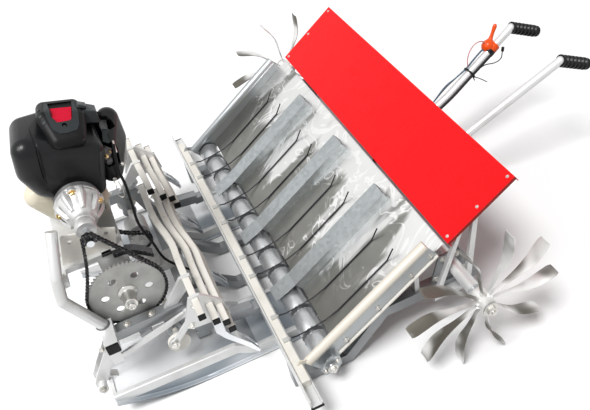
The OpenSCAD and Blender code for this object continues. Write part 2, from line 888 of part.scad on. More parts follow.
module press_wires() color("#303030")
  for (x = wire_x) {
    on_tray()
      for (i = [0:len(wire_path) - 2]) {
        rod([x, wire_path[i][0], wire_path[i][1]], [x, wire_path[i + 1][0], wire_path[i + 1][1]], wire_d);
        translate([x, wire_path[i + 1][0], wire_path[i + 1][1]])
          sphere(d = wire_d + 0.4);
      }
    along_x(-x, 10, foot_rail_y + steel_t + 1, bar_z0 + slide_bar)
      square([12, 4]);
  }

module feed_rollers() color("silver") {
  rod_x(-side_x - 22, side_x + 6, roller_y, roller_z, feed_shaft_d);
  for (lane = [-2:1])
    for (k = [0:rollers_per_lane - 1]) {
      x = lane * row_pitch + (k + 0.5) * lane_third;
      rod_x(x - 27, x + 27, roller_y, roller_z, roller_d);
    }
}

panel_start = 311;

module red_panel() color("red")
  on_tray() {
    translate([-panel_w / 2, panel_start, 0])
      cube([panel_w, panel_l, sheet_t]);
    for (s = [panel_start, panel_start + panel_l - sheet_t])
      translate([-panel_w / 2, s, -panel_fold])
        cube([panel_w, sheet_t, panel_fold]);
  }

// Line of a handle tube as rows of: place across, place along, height
grip_dir = [0, -cos(grip_droop), -sin(grip_droop)];
grip_end = [handle_spread / 2, grip_d / 2 * sin(grip_droop) - 638,
  handle_z - grip_l * sin(grip_droop)];
grip_start = grip_end - grip_l * grip_dir;
handle_line = [[58, rear_tube_y - tube / 2, side_rail_z], [58, -190, side_rail_z], [68, -362, 187],
  grip_start, grip_end - 4 * grip_dir];

module handle(dia)
  for (i = [0:len(handle_line) - 2]) {
    rod(handle_line[i], handle_line[i + 1], dia);
    if (i > 0)
      translate(handle_line[i])
        sphere(d = dia + 0.6);
  }

module grip()
  difference() {
    rod(grip_start, grip_end, grip_d);
    rod(grip_start - 5 * grip_dir, grip_end - 4 * grip_dir, handle_d + 0.1);
    rod(handle_line[2], grip_start, handle_d + 0.1);
    translate(grip_start)
      sphere(d = handle_d + 0.8);
  }

module handle_left() color("silver") mirror([1, 0, 0]) handle(handle_d);
module handle_right() color("silver") handle(handle_d);
module grip_left() color("black") mirror([1, 0, 0]) grip();
module grip_right() color("black") grip();

lever_from = handle_line[2];
lever_dir = (grip_start - lever_from) / norm(grip_start - lever_from);
lever_at = lever_from + 150 * lever_dir;

module throttle_lever() color("orangered")
  difference() {
    union() {
      rod(lever_at, lever_at + 24 * lever_dir, handle_d + 12);
      rod(lever_at + 12 * lever_dir, lever_at + 12 * lever_dir + [0, 20, 40], 9);
      translate(lever_at + 12 * lever_dir + [0, 20, 40])
        sphere(d = 14);
    }
    rod(lever_from, grip_start, handle_d);
  }

// Route of the throttle cable from the engine to the lever
cable_d = 6;
cable_route = [[-56, 421, 483], [-62, 427, 457], [-63, 431, 425], [-60, 430, 386],
  [-56, 434, 331], [-52, 437, 278], [-50, 426, 215], [-50, 416, 160], [-49, 385, 112],
  [-48.7, 340, 62], [-48.7, 300, 20],
  [-48.7, 240, 15.5], [-48.7, 165, 15.5], [-48.7, 120, 46], [-48.7, 70, 96], [-48.3, 30, 105.5],
  [-46.5, -16, 105], [-38, -64, 107.5], [-12, -104, 115], [28, -130, 123], [43, -160, 119],
  [44.8, -192, 107.5],
  [48, -247.4, 132.4], [51.3, -304.1, 159.4], [54.8, -363.3, 187.8], [61.3, -415.5, 216.4],
  [67.8, -467.8, 245.2], [71, -493.5, 259.3]];

function catmull(p, q, r, s, t) = 0.5 * (2 * q + (r - p) * t + (2 * p - 5 * q + 4 * r - s) * t * t
  + (3 * q - p - 3 * r + s) * t * t * t);

module cable(route, dia, steps, sides) {
  n = len(route);
  pts = [for (i = [0:n - 2]) for (k = [0:(i == n - 2 ? steps : steps - 1)])
    catmull(route[max(i - 1, 0)], route[i], route[i + 1], route[min(i + 2, n - 1)], k / steps)];
  m = len(pts);
  rings = [for (i = [0:m - 1])
    let (t = pts[min(i + 1, m - 1)] - pts[max(i - 1, 0)],
      u = cross(t, [1, 0, 0]) / norm(cross(t, [1, 0, 0])),
      v = cross(t, u) / norm(cross(t, u)))
    for (j = [0:sides - 1]) pts[i] + dia / 2 * (u * cos(j * 360 / sides) + v * sin(j * 360 / sides))];
  faces = concat([[for (j = [sides - 1:-1:0]) j]], [[for (j = [0:sides - 1]) (m - 1) * sides + j]],
    [for (i = [0:m - 2]) for (j = [0:sides - 1])
      [i * sides + j, i * sides + (j + 1) % sides, (i + 1) * sides + (j + 1) % sides]],
    [for (i = [0:m - 2]) for (j = [0:sides - 1])
      [i * sides + j, (i + 1) * sides + (j + 1) % sides, (i + 1) * sides + j]]);
  polyhedron(rings, faces);
}

module throttle_cable() color("black")
  cable(cable_route, cable_d, 3, 8);

foot_rail();
foot_rail_plugs();
side_rail_left();
side_rail_right();
long_rails();
cross_members();
axle_tube();
panel_struts();
tray_support_rail();
float_left();
float_right();
float_brackets();
engine_frame();
engine_plates();
engine_block();
muffler_cover();
plug_cover();
air_cleaner();
fuel_tank();
recoil_starter();
clutch_housing();
drive_shaft();
small_sprocket();
drive_chain();
big_sprocket();
counter_shaft();
transfer_chain();
transfer_gearbox();
crank_discs();
connecting_rods();
planting_bars();
planting_links();
planting_claws();
wheel_axle();
paddle_wheel_left();
paddle_wheel_right();
tray_floor();
tray_dividers();
tray_side_left();
tray_side_right();
slide_bar();
press_wires();
feed_rollers();
red_panel();
handle_left();
handle_right();
grip_left();
grip_right();
throttle_lever();
throttle_cable();
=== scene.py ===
# %% [markdown]
# # A walk behind rice transplanter for four rows
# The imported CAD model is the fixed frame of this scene: every tube, chain wheel, roller and
# blade is there already, to size and in its place. The lesson dresses it. It sets the camera
# and the light, mixes one finish for each kind of surface, and then adds what a fitter would
# add last: nuts, plugs, welds, chain links, covers and cables.

import math

import bmesh
import bpy
from mathutils import Matrix, Vector


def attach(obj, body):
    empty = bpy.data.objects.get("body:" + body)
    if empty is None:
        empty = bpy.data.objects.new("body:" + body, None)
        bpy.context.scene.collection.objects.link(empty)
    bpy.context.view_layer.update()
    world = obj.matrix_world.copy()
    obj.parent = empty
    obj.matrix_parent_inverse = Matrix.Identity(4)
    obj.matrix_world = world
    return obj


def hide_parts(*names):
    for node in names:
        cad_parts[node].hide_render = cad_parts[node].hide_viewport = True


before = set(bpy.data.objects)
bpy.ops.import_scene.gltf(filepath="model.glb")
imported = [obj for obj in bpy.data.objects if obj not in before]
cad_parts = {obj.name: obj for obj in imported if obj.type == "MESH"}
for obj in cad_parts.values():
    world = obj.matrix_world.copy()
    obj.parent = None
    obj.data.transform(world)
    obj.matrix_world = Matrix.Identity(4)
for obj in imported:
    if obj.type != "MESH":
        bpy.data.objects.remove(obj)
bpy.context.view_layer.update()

# %% [markdown]
# ## Units and shared places
# Blender counts in metres and a maker in millimetres. The machine's sizes are written in
# millimetres here and scaled by MM at the end, and only the studio is set out in metres. Two
# shafts and the tray's slope are used by many pieces, so each has one name. X runs across the
# machine, Y forward to the engine and Z up.

# %% Shared places
MM = 0.001
COUNTER_SHAFT = (504, 246)
CRANKSHAFT = (523, 400)
TRAY_FOOT = (186, 72)
SLOPE = math.radians(33.7)
print("the shafts are", round(math.dist(COUNTER_SHAFT, CRANKSHAFT)), "mm apart")

# %% [markdown]
# ## Camera
# The machine is seen from its front left and from above, from about a metre and a half away.
# The position and the three axes below say where the camera stands, and the lens gives the
# field of view. A camera looks along its own -Z, so its matrix holds right, up and backward as
# columns. A target constraint could aim it too, but the axes also keep the view's small roll.

# %% Place the camera
RIGHT = Vector((-0.38701, -0.90732, -0.16429))
UPWARD = Vector((0.57903, -0.37780, 0.72249))
FORWARD = Vector((0.71760, -0.18448, -0.67158))
CAMERA_AT = (-1.2147, 0.406, 1.248)


def new_object(name, data):
    """An object with this data, linked to the scene."""
    obj = bpy.data.objects.new(name, data)
    bpy.context.scene.collection.objects.link(obj)
    return obj


camera = new_object("camera", bpy.data.cameras.new("camera"))
facing = Matrix((RIGHT, UPWARD, -FORWARD)).transposed().to_quaternion()
camera.matrix_world = Matrix.LocRotScale(CAMERA_AT, facing, None)
camera.data.sensor_width = 36
camera.data.lens = 44.24
camera.data.clip_start = 0.05
bpy.context.scene.camera = camera
print("camera at", tuple(round(c, 3) for c in camera.location))

# %% [markdown]
# ## Shader maths
# A finish is a small sum: so much base colour, less where the steel is scuffed, a little more
# where dust lies. Wiring Math nodes by hand hides that sum. Wire wraps one socket, so that
# `1 - scuffs * 0.4` can be written as it is meant, and each operator adds its Math node.

# %% Wire
class Wire:
    """One socket of a node. Arithmetic on it adds Math nodes."""

    def __init__(self, graph, socket):
        self.graph, self.socket = graph, socket

    def __add__(self, other):
        return self.graph.math("ADD", self, other)

    def __radd__(self, other):
        return self.graph.math("ADD", other, self)

    def __sub__(self, other):
        return self.graph.math("SUBTRACT", self, other)

    def __rsub__(self, other):
        return self.graph.math("SUBTRACT", other, self)

    def __mul__(self, other):
        return self.graph.math("MULTIPLY", self, other)

    def __rmul__(self, other):
        return self.graph.math("MULTIPLY", other, self)

    def sine(self):
        return self.graph.math("SINE", self)

    def fraction(self):
        return self.graph.math("FRACT", self)

    def size(self):
        return self.graph.math("ABSOLUTE", self)

    def steps(self, low, high):
        """0 below low, 1 above high, and smooth between them."""
        return self.graph.add("ShaderNodeMapRange", {"interpolation_type": "SMOOTHSTEP"},
            {"Value": self, "From Min": low, "From Max": high})


print("a Wire can add, subtract, multiply and step")

# %% [markdown]
# Graph makes the nodes. Its add() takes a node's type, its settings, which are set first
# because they change the sockets, and the values or wires of those sockets. Colours go through
# mix(), because a Math node would turn them grey.

# %% Graph
class Graph:
    """The nodes of one material, or of the world."""

    def __init__(self, owner):
        owner.use_nodes = True
        self.tree = owner.node_tree
        self.tree.nodes.clear()

    def put(self, socket, value):
        if isinstance(value, Wire):
            self.tree.links.new(value.socket, socket)
        else:
            socket.default_value = value

    def add(self, kind, settings=None, inputs=None, output=None):
        """A new node. It gives the Wire of the named output, or of its first one if it has any."""
        node = self.tree.nodes.new(kind)
        for key, value in (settings or {}).items():
            setattr(node, key, value)
        live = [socket for socket in node.inputs if socket.enabled]
        for key, value in (inputs or {}).items():
            self.put(live[key] if isinstance(key, int) else next(s for s in live if s.name == key), value)
        ready = [socket for socket in node.outputs if socket.enabled]
        return Wire(self, next((s for s in ready if s.name == output), ready[0])) if ready else None

    def math(self, operation, *values):
        return self.add("ShaderNodeMath", {"operation": operation}, dict(enumerate(values)))

    def mix(self, mask, colour, other):
        """colour where the mask is 0 and other where it is 1."""
        return self.add("ShaderNodeMix", {"data_type": "RGBA"}, {"Factor": mask, "A": colour, "B": other})

    def looked_at(self):
        """1 for a ray that is seen, straight or in a mirror or glass, and 0 for one that lights."""
        rays = [self.add("ShaderNodeLightPath", output=f"Is {ray} Ray") for ray in
            ("Camera", "Glossy", "Transmission")]
        return self.math("MAXIMUM", self.math("MAXIMUM", rays[0], rays[1]), rays[2])


def rgb(red, green, blue):
    return (red, green, blue, 1.0)


print("a Graph adds nodes, Math nodes and colour mixes")

# %% [markdown]
# Finish is a Graph that belongs to a material with one Principled shader. Its patterns are
# laid out in the object's own millimetres, so that a grain of 2 is 2 mm wide on every piece.

# %% Finish
METAL_GLARE, DULL_GLARE, COAT_ROUGHNESS = 0.5, 0.16, 0.2


class Finish(Graph):
    """A material with one Principled shader, and helpers that add patterns to it."""

    def __init__(self, name, roughness=0.5, metallic=0.0, coat=0.0):
        self.material = bpy.data.materials.new(name)
        super().__init__(self.material)
        self.shader = self.tree.nodes.new("ShaderNodeBsdfPrincipled")
        self.add("ShaderNodeOutputMaterial", None, {"Surface": Wire(self, self.shader.outputs[0])})
        self.set("Roughness", roughness)
        self.set("Metallic", metallic)
        self.set("Specular IOR Level", METAL_GLARE if metallic > 0.3 else DULL_GLARE)
        if coat:
            self.set("Coat Weight", coat)
            self.set("Coat Roughness", COAT_ROUGHNESS)
        self.place = self.add("ShaderNodeTexCoord", output="Object")

    def set(self, name, value):
        self.put(self.shader.inputs[name], value)

    def stretch(self, across, along, up):
        """The object's own coordinates, in millimetres, stretched along the three axes."""
        return self.add("ShaderNodeVectorMath", {"operation": "MULTIPLY"},
            {0: self.place, 1: (across / MM, along / MM, up / MM)})

    def axis(self, letter):
        """One of the three coordinates X, Y and Z, in millimetres."""
        return self.add("ShaderNodeSeparateXYZ", None, {0: self.stretch(1, 1, 1)}, letter)

    def noise(self, size, detail=3.0, place=None, distortion=0.0):
        """Cloudy noise with spots about size millimetres across."""
        return self.add("ShaderNodeTexNoise", None, {"Vector": place or self.stretch(1, 1, 1),
            "Scale": 1 / size, "Detail": detail, "Distortion": distortion})

    def cells(self, size, output="Distance"):
        """Crystal or grain cells about size millimetres across."""
        return self.add("ShaderNodeTexVoronoi", None,
            {"Vector": self.stretch(1, 1, 1), "Scale": 1 / size}, output)

    def relief(self, height, depth):
        """Bump from a height of 0 to 1 that is depth millimetres high."""
        self.set("Normal", self.add("ShaderNodeBump", None, {"Height": height, "Distance": depth * MM},
            "Normal"))


print("a Finish has noise, cells and relief in millimetres")

# %% [markdown]
# ## Floor and light
# A studio sweep is a pale floor under a white sky. It could be a curved sheet, but its bend
# would show from other sides. Here both are white only to rays that are seen, where Light Path
# tells the rays apart, and they light the machine at a plain level.

# %% Studio floor and sky
SKY_LIGHT = 0.30
FLOOR_HALF, FLOOR_DROP = 6, 0.0006

corners = [(-1, -1), (1, -1), (1, 1), (-1, 1)]
floor_mesh = bpy.data.meshes.new("floor")
floor_mesh.from_pydata([(x * FLOOR_HALF, y * FLOOR_HALF, 0) for x, y in corners], [], [(0, 1, 2, 3)])
floor = new_object("floor", floor_mesh)
floor.location.z = -FLOOR_DROP
paper = Finish("studio_floor", roughness=0.9)
paper.set("Base Color", paper.mix(paper.looked_at(), rgb(0.42, 0.42, 0.42), rgb(0.95, 0.95, 0.95)))
floor_mesh.materials.append(paper.material)

world = bpy.data.worlds.new("studio")
bpy.context.scene.world = world
sky = Graph(world)
lit, seen = [sky.add("ShaderNodeBackground", None, {"Color": rgb(1, 1, 1), "Strength": strength})
    for strength in (SKY_LIGHT, 1.0)]
shown = sky.add("ShaderNodeMixShader", None, {0: sky.looked_at(), 1: lit, 2: seen})
sky.add("ShaderNodeOutputWorld", None, {"Surface": shown})
bpy.context.scene.view_settings.view_transform = "Standard"
print("sky", SKY_LIGHT)

# %% [markdown]
# One wide sun gives soft shadows, and a soft box before the engine puts a highlight on its
# dark covers. A picture of a real studio could light the scene too, but two lamps at a plain
# level keep every colour as it is written.

# %% Lamps
SUN_LIGHT, SUN_SPREAD = 2.7, math.radians(22)
SOFTBOX_LIGHT, SOFTBOX_SIZE = 14, 0.7
SOFTBOX_AT, SOFTBOX_AIM = Vector((-0.35, 1.75, 1.9)), Vector((0, 0.45, 0.45))


def lamp(name, kind, energy, backward):
    """A lamp whose back points along backward, because it shines along its own -Z."""
    obj = new_object(name, bpy.data.lights.new(name, kind))
    obj.data.energy = energy
    obj.rotation_mode = "QUATERNION"
    obj.rotation_quaternion = backward.to_track_quat("Z", "Y")
    return obj


sun = lamp("sun", "SUN", SUN_LIGHT, Vector((-0.28, 0.38, 1.0)))
sun.data.angle = SUN_SPREAD
softbox = lamp("softbox", "AREA", SOFTBOX_LIGHT, SOFTBOX_AT - SOFTBOX_AIM)
softbox.data.size = SOFTBOX_SIZE
softbox.location = SOFTBOX_AT
print("sun", SUN_LIGHT, "soft box", SOFTBOX_LIGHT)

# %% [markdown]
# ## Paint and zinc
# The frame is welded square tube under a thin silver white paint, and the tray's dividers are
# zinc coated sheet. Paint shows orange peel and dull scuffs. Zinc shows crystals of slightly
# different grey. A photograph of each could be wrapped round the tubes, but noise in
# millimetres needs no unwrapping and has the right scale everywhere.

# %% Paint and zinc
def painted(name, colour, dirt, roughness, metallic=0.12):
    """Sprayed paint with orange peel, a dusty cloud and a few scuffs."""
    f = Finish(name, metallic=metallic)
    dust = f.noise(60, 4).steps(0.42, 0.75)
    scuffs = f.noise(7, 6).steps(0.66, 0.74) * f.noise(90).steps(0.45, 0.6)
    f.set("Base Color", f.mix(scuffs * 0.7, f.mix(dust * 0.55, colour, dirt), rgb(0.42, 0.42, 0.41)))
    f.set("Roughness", roughness + dust * 0.12 + scuffs * 0.1)
    f.relief(f.noise(1.6, 2), 0.05)
    return f.material


def zinc(name, light, dark, crystal):
    """Hot dip zinc: crystals of two greys, with soft streaks down the sheet."""
    f = Finish(name, metallic=0.85)
    spangle = f.cells(crystal, "Color")
    streaks = f.noise(24, 4, f.stretch(1, 0.12, 0.12))
    grey = f.add("ShaderNodeSeparateColor", None, {"Color": spangle}, "Red")
    f.set("Base Color", f.mix(grey * 0.45 + streaks * 0.5, light, dark))
    f.set("Roughness", 0.30 + grey * 0.10 + streaks * 0.08)
    f.relief(f.noise(70, 2), 0.9)
    return f.material


SILVER_WHITE = painted("silver_white_paint", rgb(0.74, 0.745, 0.74), rgb(0.56, 0.56, 0.545), 0.30, 0.45)
CREAM = painted("cream_paint", rgb(0.78, 0.755, 0.70), rgb(0.60, 0.575, 0.51), 0.36)
RAIL_GREY = painted("rail_grey", rgb(0.29, 0.30, 0.31), rgb(0.20, 0.205, 0.21), 0.30, 0.6)
ZINC = zinc("zinc_sheet", rgb(0.50, 0.53, 0.54), rgb(0.30, 0.32, 0.33), 9)
ROLLER_STEEL = zinc("roller_steel", rgb(0.60, 0.615, 0.625), rgb(0.42, 0.43, 0.44), 3)
print("finishes so far:", len(bpy.data.materials))

# %% [markdown]
# ## Bright steel
# Shafts, claws and nuts are bright steel, the blades and the floats' decks are bare steel whose
# colour carries painted reflections of the pale studio and of its own dark neighbours, and the big chain
# wheel is turned.
# Rolled sheet is never quite flat, and its broad waves bend what it mirrors, so the relief is
# wide and very low. The lathe leaves fine rings, which are a sine of the radius.

# %% Bright steel
def rolled(name, light, dark, roughness, wave):
    """Bright rolled metal: soft clouds of two tones and a low, wide wave."""
    f = Finish(name, metallic=1.0)
    clouds = f.noise(55, 3, f.stretch(1, 0.35, 0.35))
    f.set("Base Color", f.mix(clouds.steps(0.3, 0.7), light, dark))
    f.set("Roughness", roughness + clouds * 0.06)
    f.relief(f.noise(46, 2, f.stretch(1, 0.5, 0.5)), wave)
    return f.material


def steel_with_painted_reflections(name, light, dark, size, along):
    """Bare bright steel, with painted reflections of pale and dark surroundings in large soft patches of its
    colour.
    """
    f = Finish(name, metallic=0.5)
    # Painted reflection and shade: large soft patches of pale and dark in the base colour.
    painted_reflections = f.noise(size, 2, f.stretch(1, along, 1)).steps(0.40, 0.60)
    f.set("Base Color", f.mix(painted_reflections, light, dark))
    f.set("Roughness", 0.36 + painted_reflections * 0.08)
    f.relief(f.noise(size * 0.4, 1), 0.5)
    return f.material


def turned_steel(name, colour, worn, centre):
    """Turned steel: fine rings round the axis of the part, which runs along X."""
    f = Finish(name, metallic=0.55)
    arm = f.add("ShaderNodeVectorMath", {"operation": "SUBTRACT"}, {0: f.stretch(0, 1, 1), 1: (0.0, *centre)})
    radius = f.add("ShaderNodeVectorMath", {"operation": "LENGTH"}, {0: arm}, "Value")
    rings = (radius * 5.2).sine()
    blush = f.noise(38, 3).steps(0.35, 0.7)
    f.set("Base Color", f.mix(blush * 0.6, colour, worn))
    f.set("Roughness", 0.38 + rings * 0.04 + blush * 0.08)
    f.relief(rings + f.noise(2.5, 3) * 0.8, 0.03)
    return f.material


POLISHED = rolled("polished_steel", rgb(0.80, 0.81, 0.83), rgb(0.60, 0.62, 0.64), 0.14, 0.35)
ZINC_BOLT = rolled("plated_steel", rgb(0.72, 0.71, 0.68), rgb(0.48, 0.47, 0.44), 0.28, 0.15)
BRASS = rolled("brass", rgb(0.76, 0.55, 0.26), rgb(0.52, 0.35, 0.14), 0.25, 0.15)
# The blades and the floats' decks carry painted reflections and shade in their colour.
BLADE_STEEL = steel_with_painted_reflections("blade_steel", rgb(0.86, 0.855, 0.84), rgb(0.12, 0.11, 0.09), 95, 1.0)
DECK_STEEL = steel_with_painted_reflections("deck_steel", rgb(0.93, 0.94, 0.95), rgb(0.30, 0.335, 0.37), 150, 0.45)
SPROCKET_GREY = turned_steel("turned_steel", rgb(0.40, 0.40, 0.385), rgb(0.288, 0.288, 0.2772), COUNTER_SHAFT)
print("finishes so far:", len(bpy.data.materials))

# %% [markdown]
# ## Tray sheet and press wires
# The tray has three surfaces of its own. Its polished floor carries painted glare: a painted
# reflection in rings and tongues. Its sides are zinc sheet below and a cream tube above, and the
# dark press wires end in plated clips. Where two materials meet on one CAD node, the finish
# itself can tell them apart by their height over the tray's floor or by their place along the machine.

# %% Tray sheet and press wires
def bright_sheet(name, light, dark, painted_glare_colour):
    """Thin polished sheet that buckles a little. Pale glare is painted into its colour in rings and
    tongues, a painted reflection, more of it near the upper edge, and the hollows between stay a dull olive
    grey."""
    f = Finish(name, metallic=0.9)
    warp = f.noise(85, 2, f.stretch(1, 0.8, 0.8), 1.6)
    # Painted reflection: tongues and rings of pale glare in the base colour, more of them higher up the
    # slope.
    painted_glare_tongues = f.noise(60, 3, f.stretch(1, 0.25, 0.25)) + (f.axis("Z") - 150) * 0.0022
    rings = 1 - ((warp * 5.0).fraction() - 0.5).size().steps(0.02, 0.16)
    painted_glare_mask = (painted_glare_tongues.steps(0.46, 0.62) * 0.75 + rings * painted_glare_tongues.steps(0.36, 0.56) * 0.55).steps(0.0, 1.0)
    f.set("Base Color", f.mix(painted_glare_mask, f.mix(f.noise(40, 4), light, dark), painted_glare_colour))
    f.set("Roughness", 0.34 + f.noise(30) * 0.08)
    f.relief(warp, 1.2)
    return f.material


def side_sheet(name, sheet, tube):
    """The tray's sides are zinc sheet, and the round tube along their upper edge is cream."""
    f = Finish(name, metallic=0.6)
    forward, up = f.axis("Y") - TRAY_FOOT[0], f.axis("Z") - TRAY_FOOT[1]
    above_floor = forward * math.sin(SLOPE) + up * math.cos(SLOPE)
    on_tube = above_floor.steps(25, 26) * (0 - f.axis("X")).steps(0, 10)
    f.set("Base Color", f.mix(on_tube, sheet, tube))
    f.set("Metallic", 0.75 - on_tube * 0.7)
    f.set("Roughness", 0.33 + f.noise(24, 4, f.stretch(1, 0.3, 0.3)) * 0.12)
    f.relief(f.noise(60, 2), 0.7)
    return f.material


def clip_wire(name, wire, clip):
    """Dark spring wire, with its plated clips on the slide bar."""
    f = Finish(name, metallic=0.8)
    f.set("Base Color", f.mix(f.axis("Y").steps(246, 248), wire, clip))
    f.set("Roughness", 0.36 + f.noise(6) * 0.15)
    f.relief(f.noise(1.2), 0.03)
    return f.material


# The third colour is the painted glare.
BRIGHT_SHEET = bright_sheet("rolled_sheet", rgb(0.30, 0.30, 0.28), rgb(0.20, 0.20, 0.185),
    rgb(0.86, 0.86, 0.85))
SIDE_SHEET = side_sheet("side_sheet", rgb(0.42, 0.44, 0.45), rgb(0.74, 0.69, 0.60))
WIRE = clip_wire("spring_wire", rgb(0.035, 0.035, 0.038), rgb(0.55, 0.55, 0.53))
print("finishes so far:", len(bpy.data.materials))

# %% [markdown]
# ## Castings and chain
# The clutch bell is sand cast, so it is grainy and dull. A chain is dark because oil holds
# dust. Real pits would need a very dense mesh, and a bump of a tenth of a millimetre looks the
# same, so each is one tone broken up by a second one over a fine relief.

# %% Castings and chain
def cast(name, colour, dark, roughness=0.46):
    """Sand cast metal: a sugary grain, darker in its pits."""
    f = Finish(name, metallic=0.62)
    grain, stain = f.cells(1.3), f.noise(22, 4)
    f.set("Base Color", f.mix(stain.steps(0.35, 0.75) * 0.7 + grain * 0.2, colour, dark))
    f.set("Roughness", roughness + grain * 0.16)
    f.relief(grain + f.noise(0.8, 2) * 0.6, 0.10)
    return f.material


def oily(name, colour, pale_spot_colour):
    """Dark steel under a film of oil, with paler spots in a fine cloud."""
    f = Finish(name, metallic=0.75)
    film = f.noise(4, 4)
    f.set("Base Color", f.mix(film.steps(0.5, 0.72), colour, pale_spot_colour))
    f.set("Roughness", 0.26 + film * 0.28)
    f.relief(f.noise(1.1, 3), 0.05)
    return f.material


BARE_CAST = cast("cast_alloy", rgb(0.62, 0.62, 0.61), rgb(0.40, 0.40, 0.39))
BELL_CAST = cast("bright_alloy", rgb(0.62, 0.62, 0.615), rgb(0.36, 0.36, 0.355), 0.40)
DARK_CAST = cast("cast_iron", rgb(0.20, 0.20, 0.20), rgb(0.10, 0.10, 0.10))
CHAIN = oily("oiled_chain", rgb(0.016, 0.016, 0.018), rgb(0.16, 0.155, 0.15))
DARK_STEEL = oily("dark_steel", rgb(0.045, 0.046, 0.05), rgb(0.14, 0.14, 0.14))
print("finishes so far:", len(bpy.data.materials))

# %% [markdown]
# ## Plastic, rubber and gloss paint
# The engine covers are moulded in charcoal plastic with a fine grain, the panel is gloss red,
# and the grips are rubber. One recipe makes them all: only colour, gloss and the size of the
# grain differ, so they are one function and a row for each.

# %% Plastic, rubber and gloss paint
def moulded(name, colour, worn, roughness, grain=0.9, depth=0.05, coat=0.0):
    """A moulded or sprayed skin: a leathery grain, and paler where hands and dust rub it."""
    f = Finish(name, coat=coat)
    rub = f.noise(34, 5).steps(0.45, 0.75)
    f.set("Base Color", f.mix(rub * 0.6, colour, worn))
    f.set("Roughness", roughness + rub * 0.1)
    f.relief(f.cells(grain), depth)
    return f.material


CHARCOAL = moulded("charcoal_plastic", rgb(0.006, 0.0065, 0.0072), rgb(0.011, 0.012, 0.013), 0.30,
    coat=0.18)
COVER_GREY = moulded("cover_plastic", rgb(0.028, 0.033, 0.035), rgb(0.044, 0.05, 0.052), 0.36)
BLACK = moulded("black_plastic", rgb(0.006, 0.006, 0.0066), rgb(0.013, 0.013, 0.0135), 0.42)
GRIP = moulded("grip_rubber", rgb(0.006, 0.006, 0.007), rgb(0.012, 0.012, 0.012), 0.34, 1.4, 0.05, 0.1)
ORANGE = moulded("orange_plastic", rgb(0.84, 0.085, 0.004), rgb(0.70, 0.035, 0.003), 0.26, 1.1, 0.03, 0.3)
TANK = moulded("tank_plastic", rgb(0.72, 0.665, 0.53), rgb(0.60, 0.54, 0.41), 0.30, 2.2, 0.05)
PANEL_RED = moulded("gloss_red_paint", rgb(0.82, 0.003, 0.006), rgb(0.72, 0.003, 0.005), 0.24,
    2.6, 0.02, 0.12)
# A darker red for the panel's folded ends: painted shade.
FOLD_SHADE_RED = moulded("shaded_red_paint", rgb(0.32, 0.016, 0.010), rgb(0.24, 0.014, 0.009), 0.4)
LABEL_RED = moulded("red_foil", rgb(0.62, 0.003, 0.03), rgb(0.50, 0.002, 0.02), 0.30, 3.0, 0.01)
PINK_WIRE = moulded("pink_insulation", rgb(0.62, 0.26, 0.27), rgb(0.42, 0.18, 0.19), 0.4)
BLUE_WIRE = moulded("blue_wire", rgb(0.05, 0.12, 0.19), rgb(0.09, 0.17, 0.25), 0.4)
print("all finishes:", len(bpy.data.materials))

# %% [markdown]
# ## Dress the CAD nodes
# A CAD edge is perfectly sharp and never catches the light. A bevel of half a millimetre does
# what a file or a bend does to the real edge. The frame's meshes keep their own vertices, so
# the rounding is a modifier: Weld first joins the split corners, then Bevel rounds what turns
# by more than 30 degrees. A table says which finish and which edge each node gets.

# %% Finish and edge of each node
# Rows of: finish, edge in millimetres, nodes
DRESS = [
    (SILVER_WHITE, 1.6, "foot_rail"),
    (RAIL_GREY, 1.6, "side_rail_left side_rail_right long_rails cross_members"),
    (SILVER_WHITE, 1.0, "panel_struts float_brackets engine_frame connecting_rods planting_links"),
    (SILVER_WHITE, 0.0, "axle_tube tray_support_rail handle_left handle_right"),
    (ZINC, 0.5, "tray_dividers"),
    (SIDE_SHEET, 0.5, "tray_side_left tray_side_right"),
    (DECK_STEEL, 2.0, "float_left float_right"),
    (BRIGHT_SHEET, 0.3, "tray_floor"),
    (POLISHED, 0.4, "paddle_wheel_left paddle_wheel_right planting_claws"),
    (POLISHED, 0.0, "wheel_axle drive_shaft counter_shaft"),
    (CREAM, 0.8, "engine_plates slide_bar planting_bars crank_discs"),
    (BARE_CAST, 0.6, "clutch_housing transfer_gearbox"),
    (DARK_CAST, 1.5, "engine_block"),
    (SPROCKET_GREY, 0.3, "big_sprocket"),
    (DARK_STEEL, 0.3, "small_sprocket"),
    (BLACK, 0.6, "foot_rail_plugs recoil_starter"),
    (BLACK, 0.0, "throttle_cable"),
    (PANEL_RED, 0.8, "red_panel"),
    (WIRE, 0.0, "press_wires"),
    (GRIP, 0.0, "grip_left grip_right"),
    (ORANGE, 0.0, "throttle_lever"),
    (TANK, 0.0, "fuel_tank"),
    (CHARCOAL, 0.0, "muffler_cover plug_cover air_cleaner"),
    (CHAIN, 0.0, "drive_chain transfer_chain"),
    (ROLLER_STEEL, 0.6, "feed_rollers"),
]


def round_edges(obj, edge):
    """Rounds every edge that turns by more than 30 degrees, by edge millimetres."""
    bevel = obj.modifiers.new("edge", "BEVEL")
    bevel.width, bevel.segments = edge * MM, 2
    bevel.limit_method, bevel.angle_limit = "ANGLE", math.radians(30)
    bevel.harden_normals = True


dressed = set()
for finish, edge, names in DRESS:
    for name in names.split():
        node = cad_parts[name]
        node.data.materials.clear()
        node.data.materials.append(finish)
        dressed.add(name)
        if edge:
            weld = node.modifiers.new("weld", "WELD")
            weld.merge_threshold = 1e-5
            round_edges(node, edge)
print("nodes without a finish:", sorted(set(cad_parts) - dressed))

# %% [markdown]
# ## A small workshop for meshes
# Most small parts are one of four forms: turned on a lathe, cut from plate, bent from rod, or
# lofted between rings. Each could be a stack of primitives and modifiers, but drawing the
# rings directly in bmesh keeps the size exact and the mesh light. A finished mesh becomes a
# piece: an object with a finish that rides on a body and may stand for a CAD node.

# %% From a mesh to a piece
def mesh_data(mesh, name="form"):
    """The mesh data of a bmesh, which is freed."""
    data = bpy.data.meshes.new(name)
    mesh.to_mesh(data)
    mesh.free()
    return data


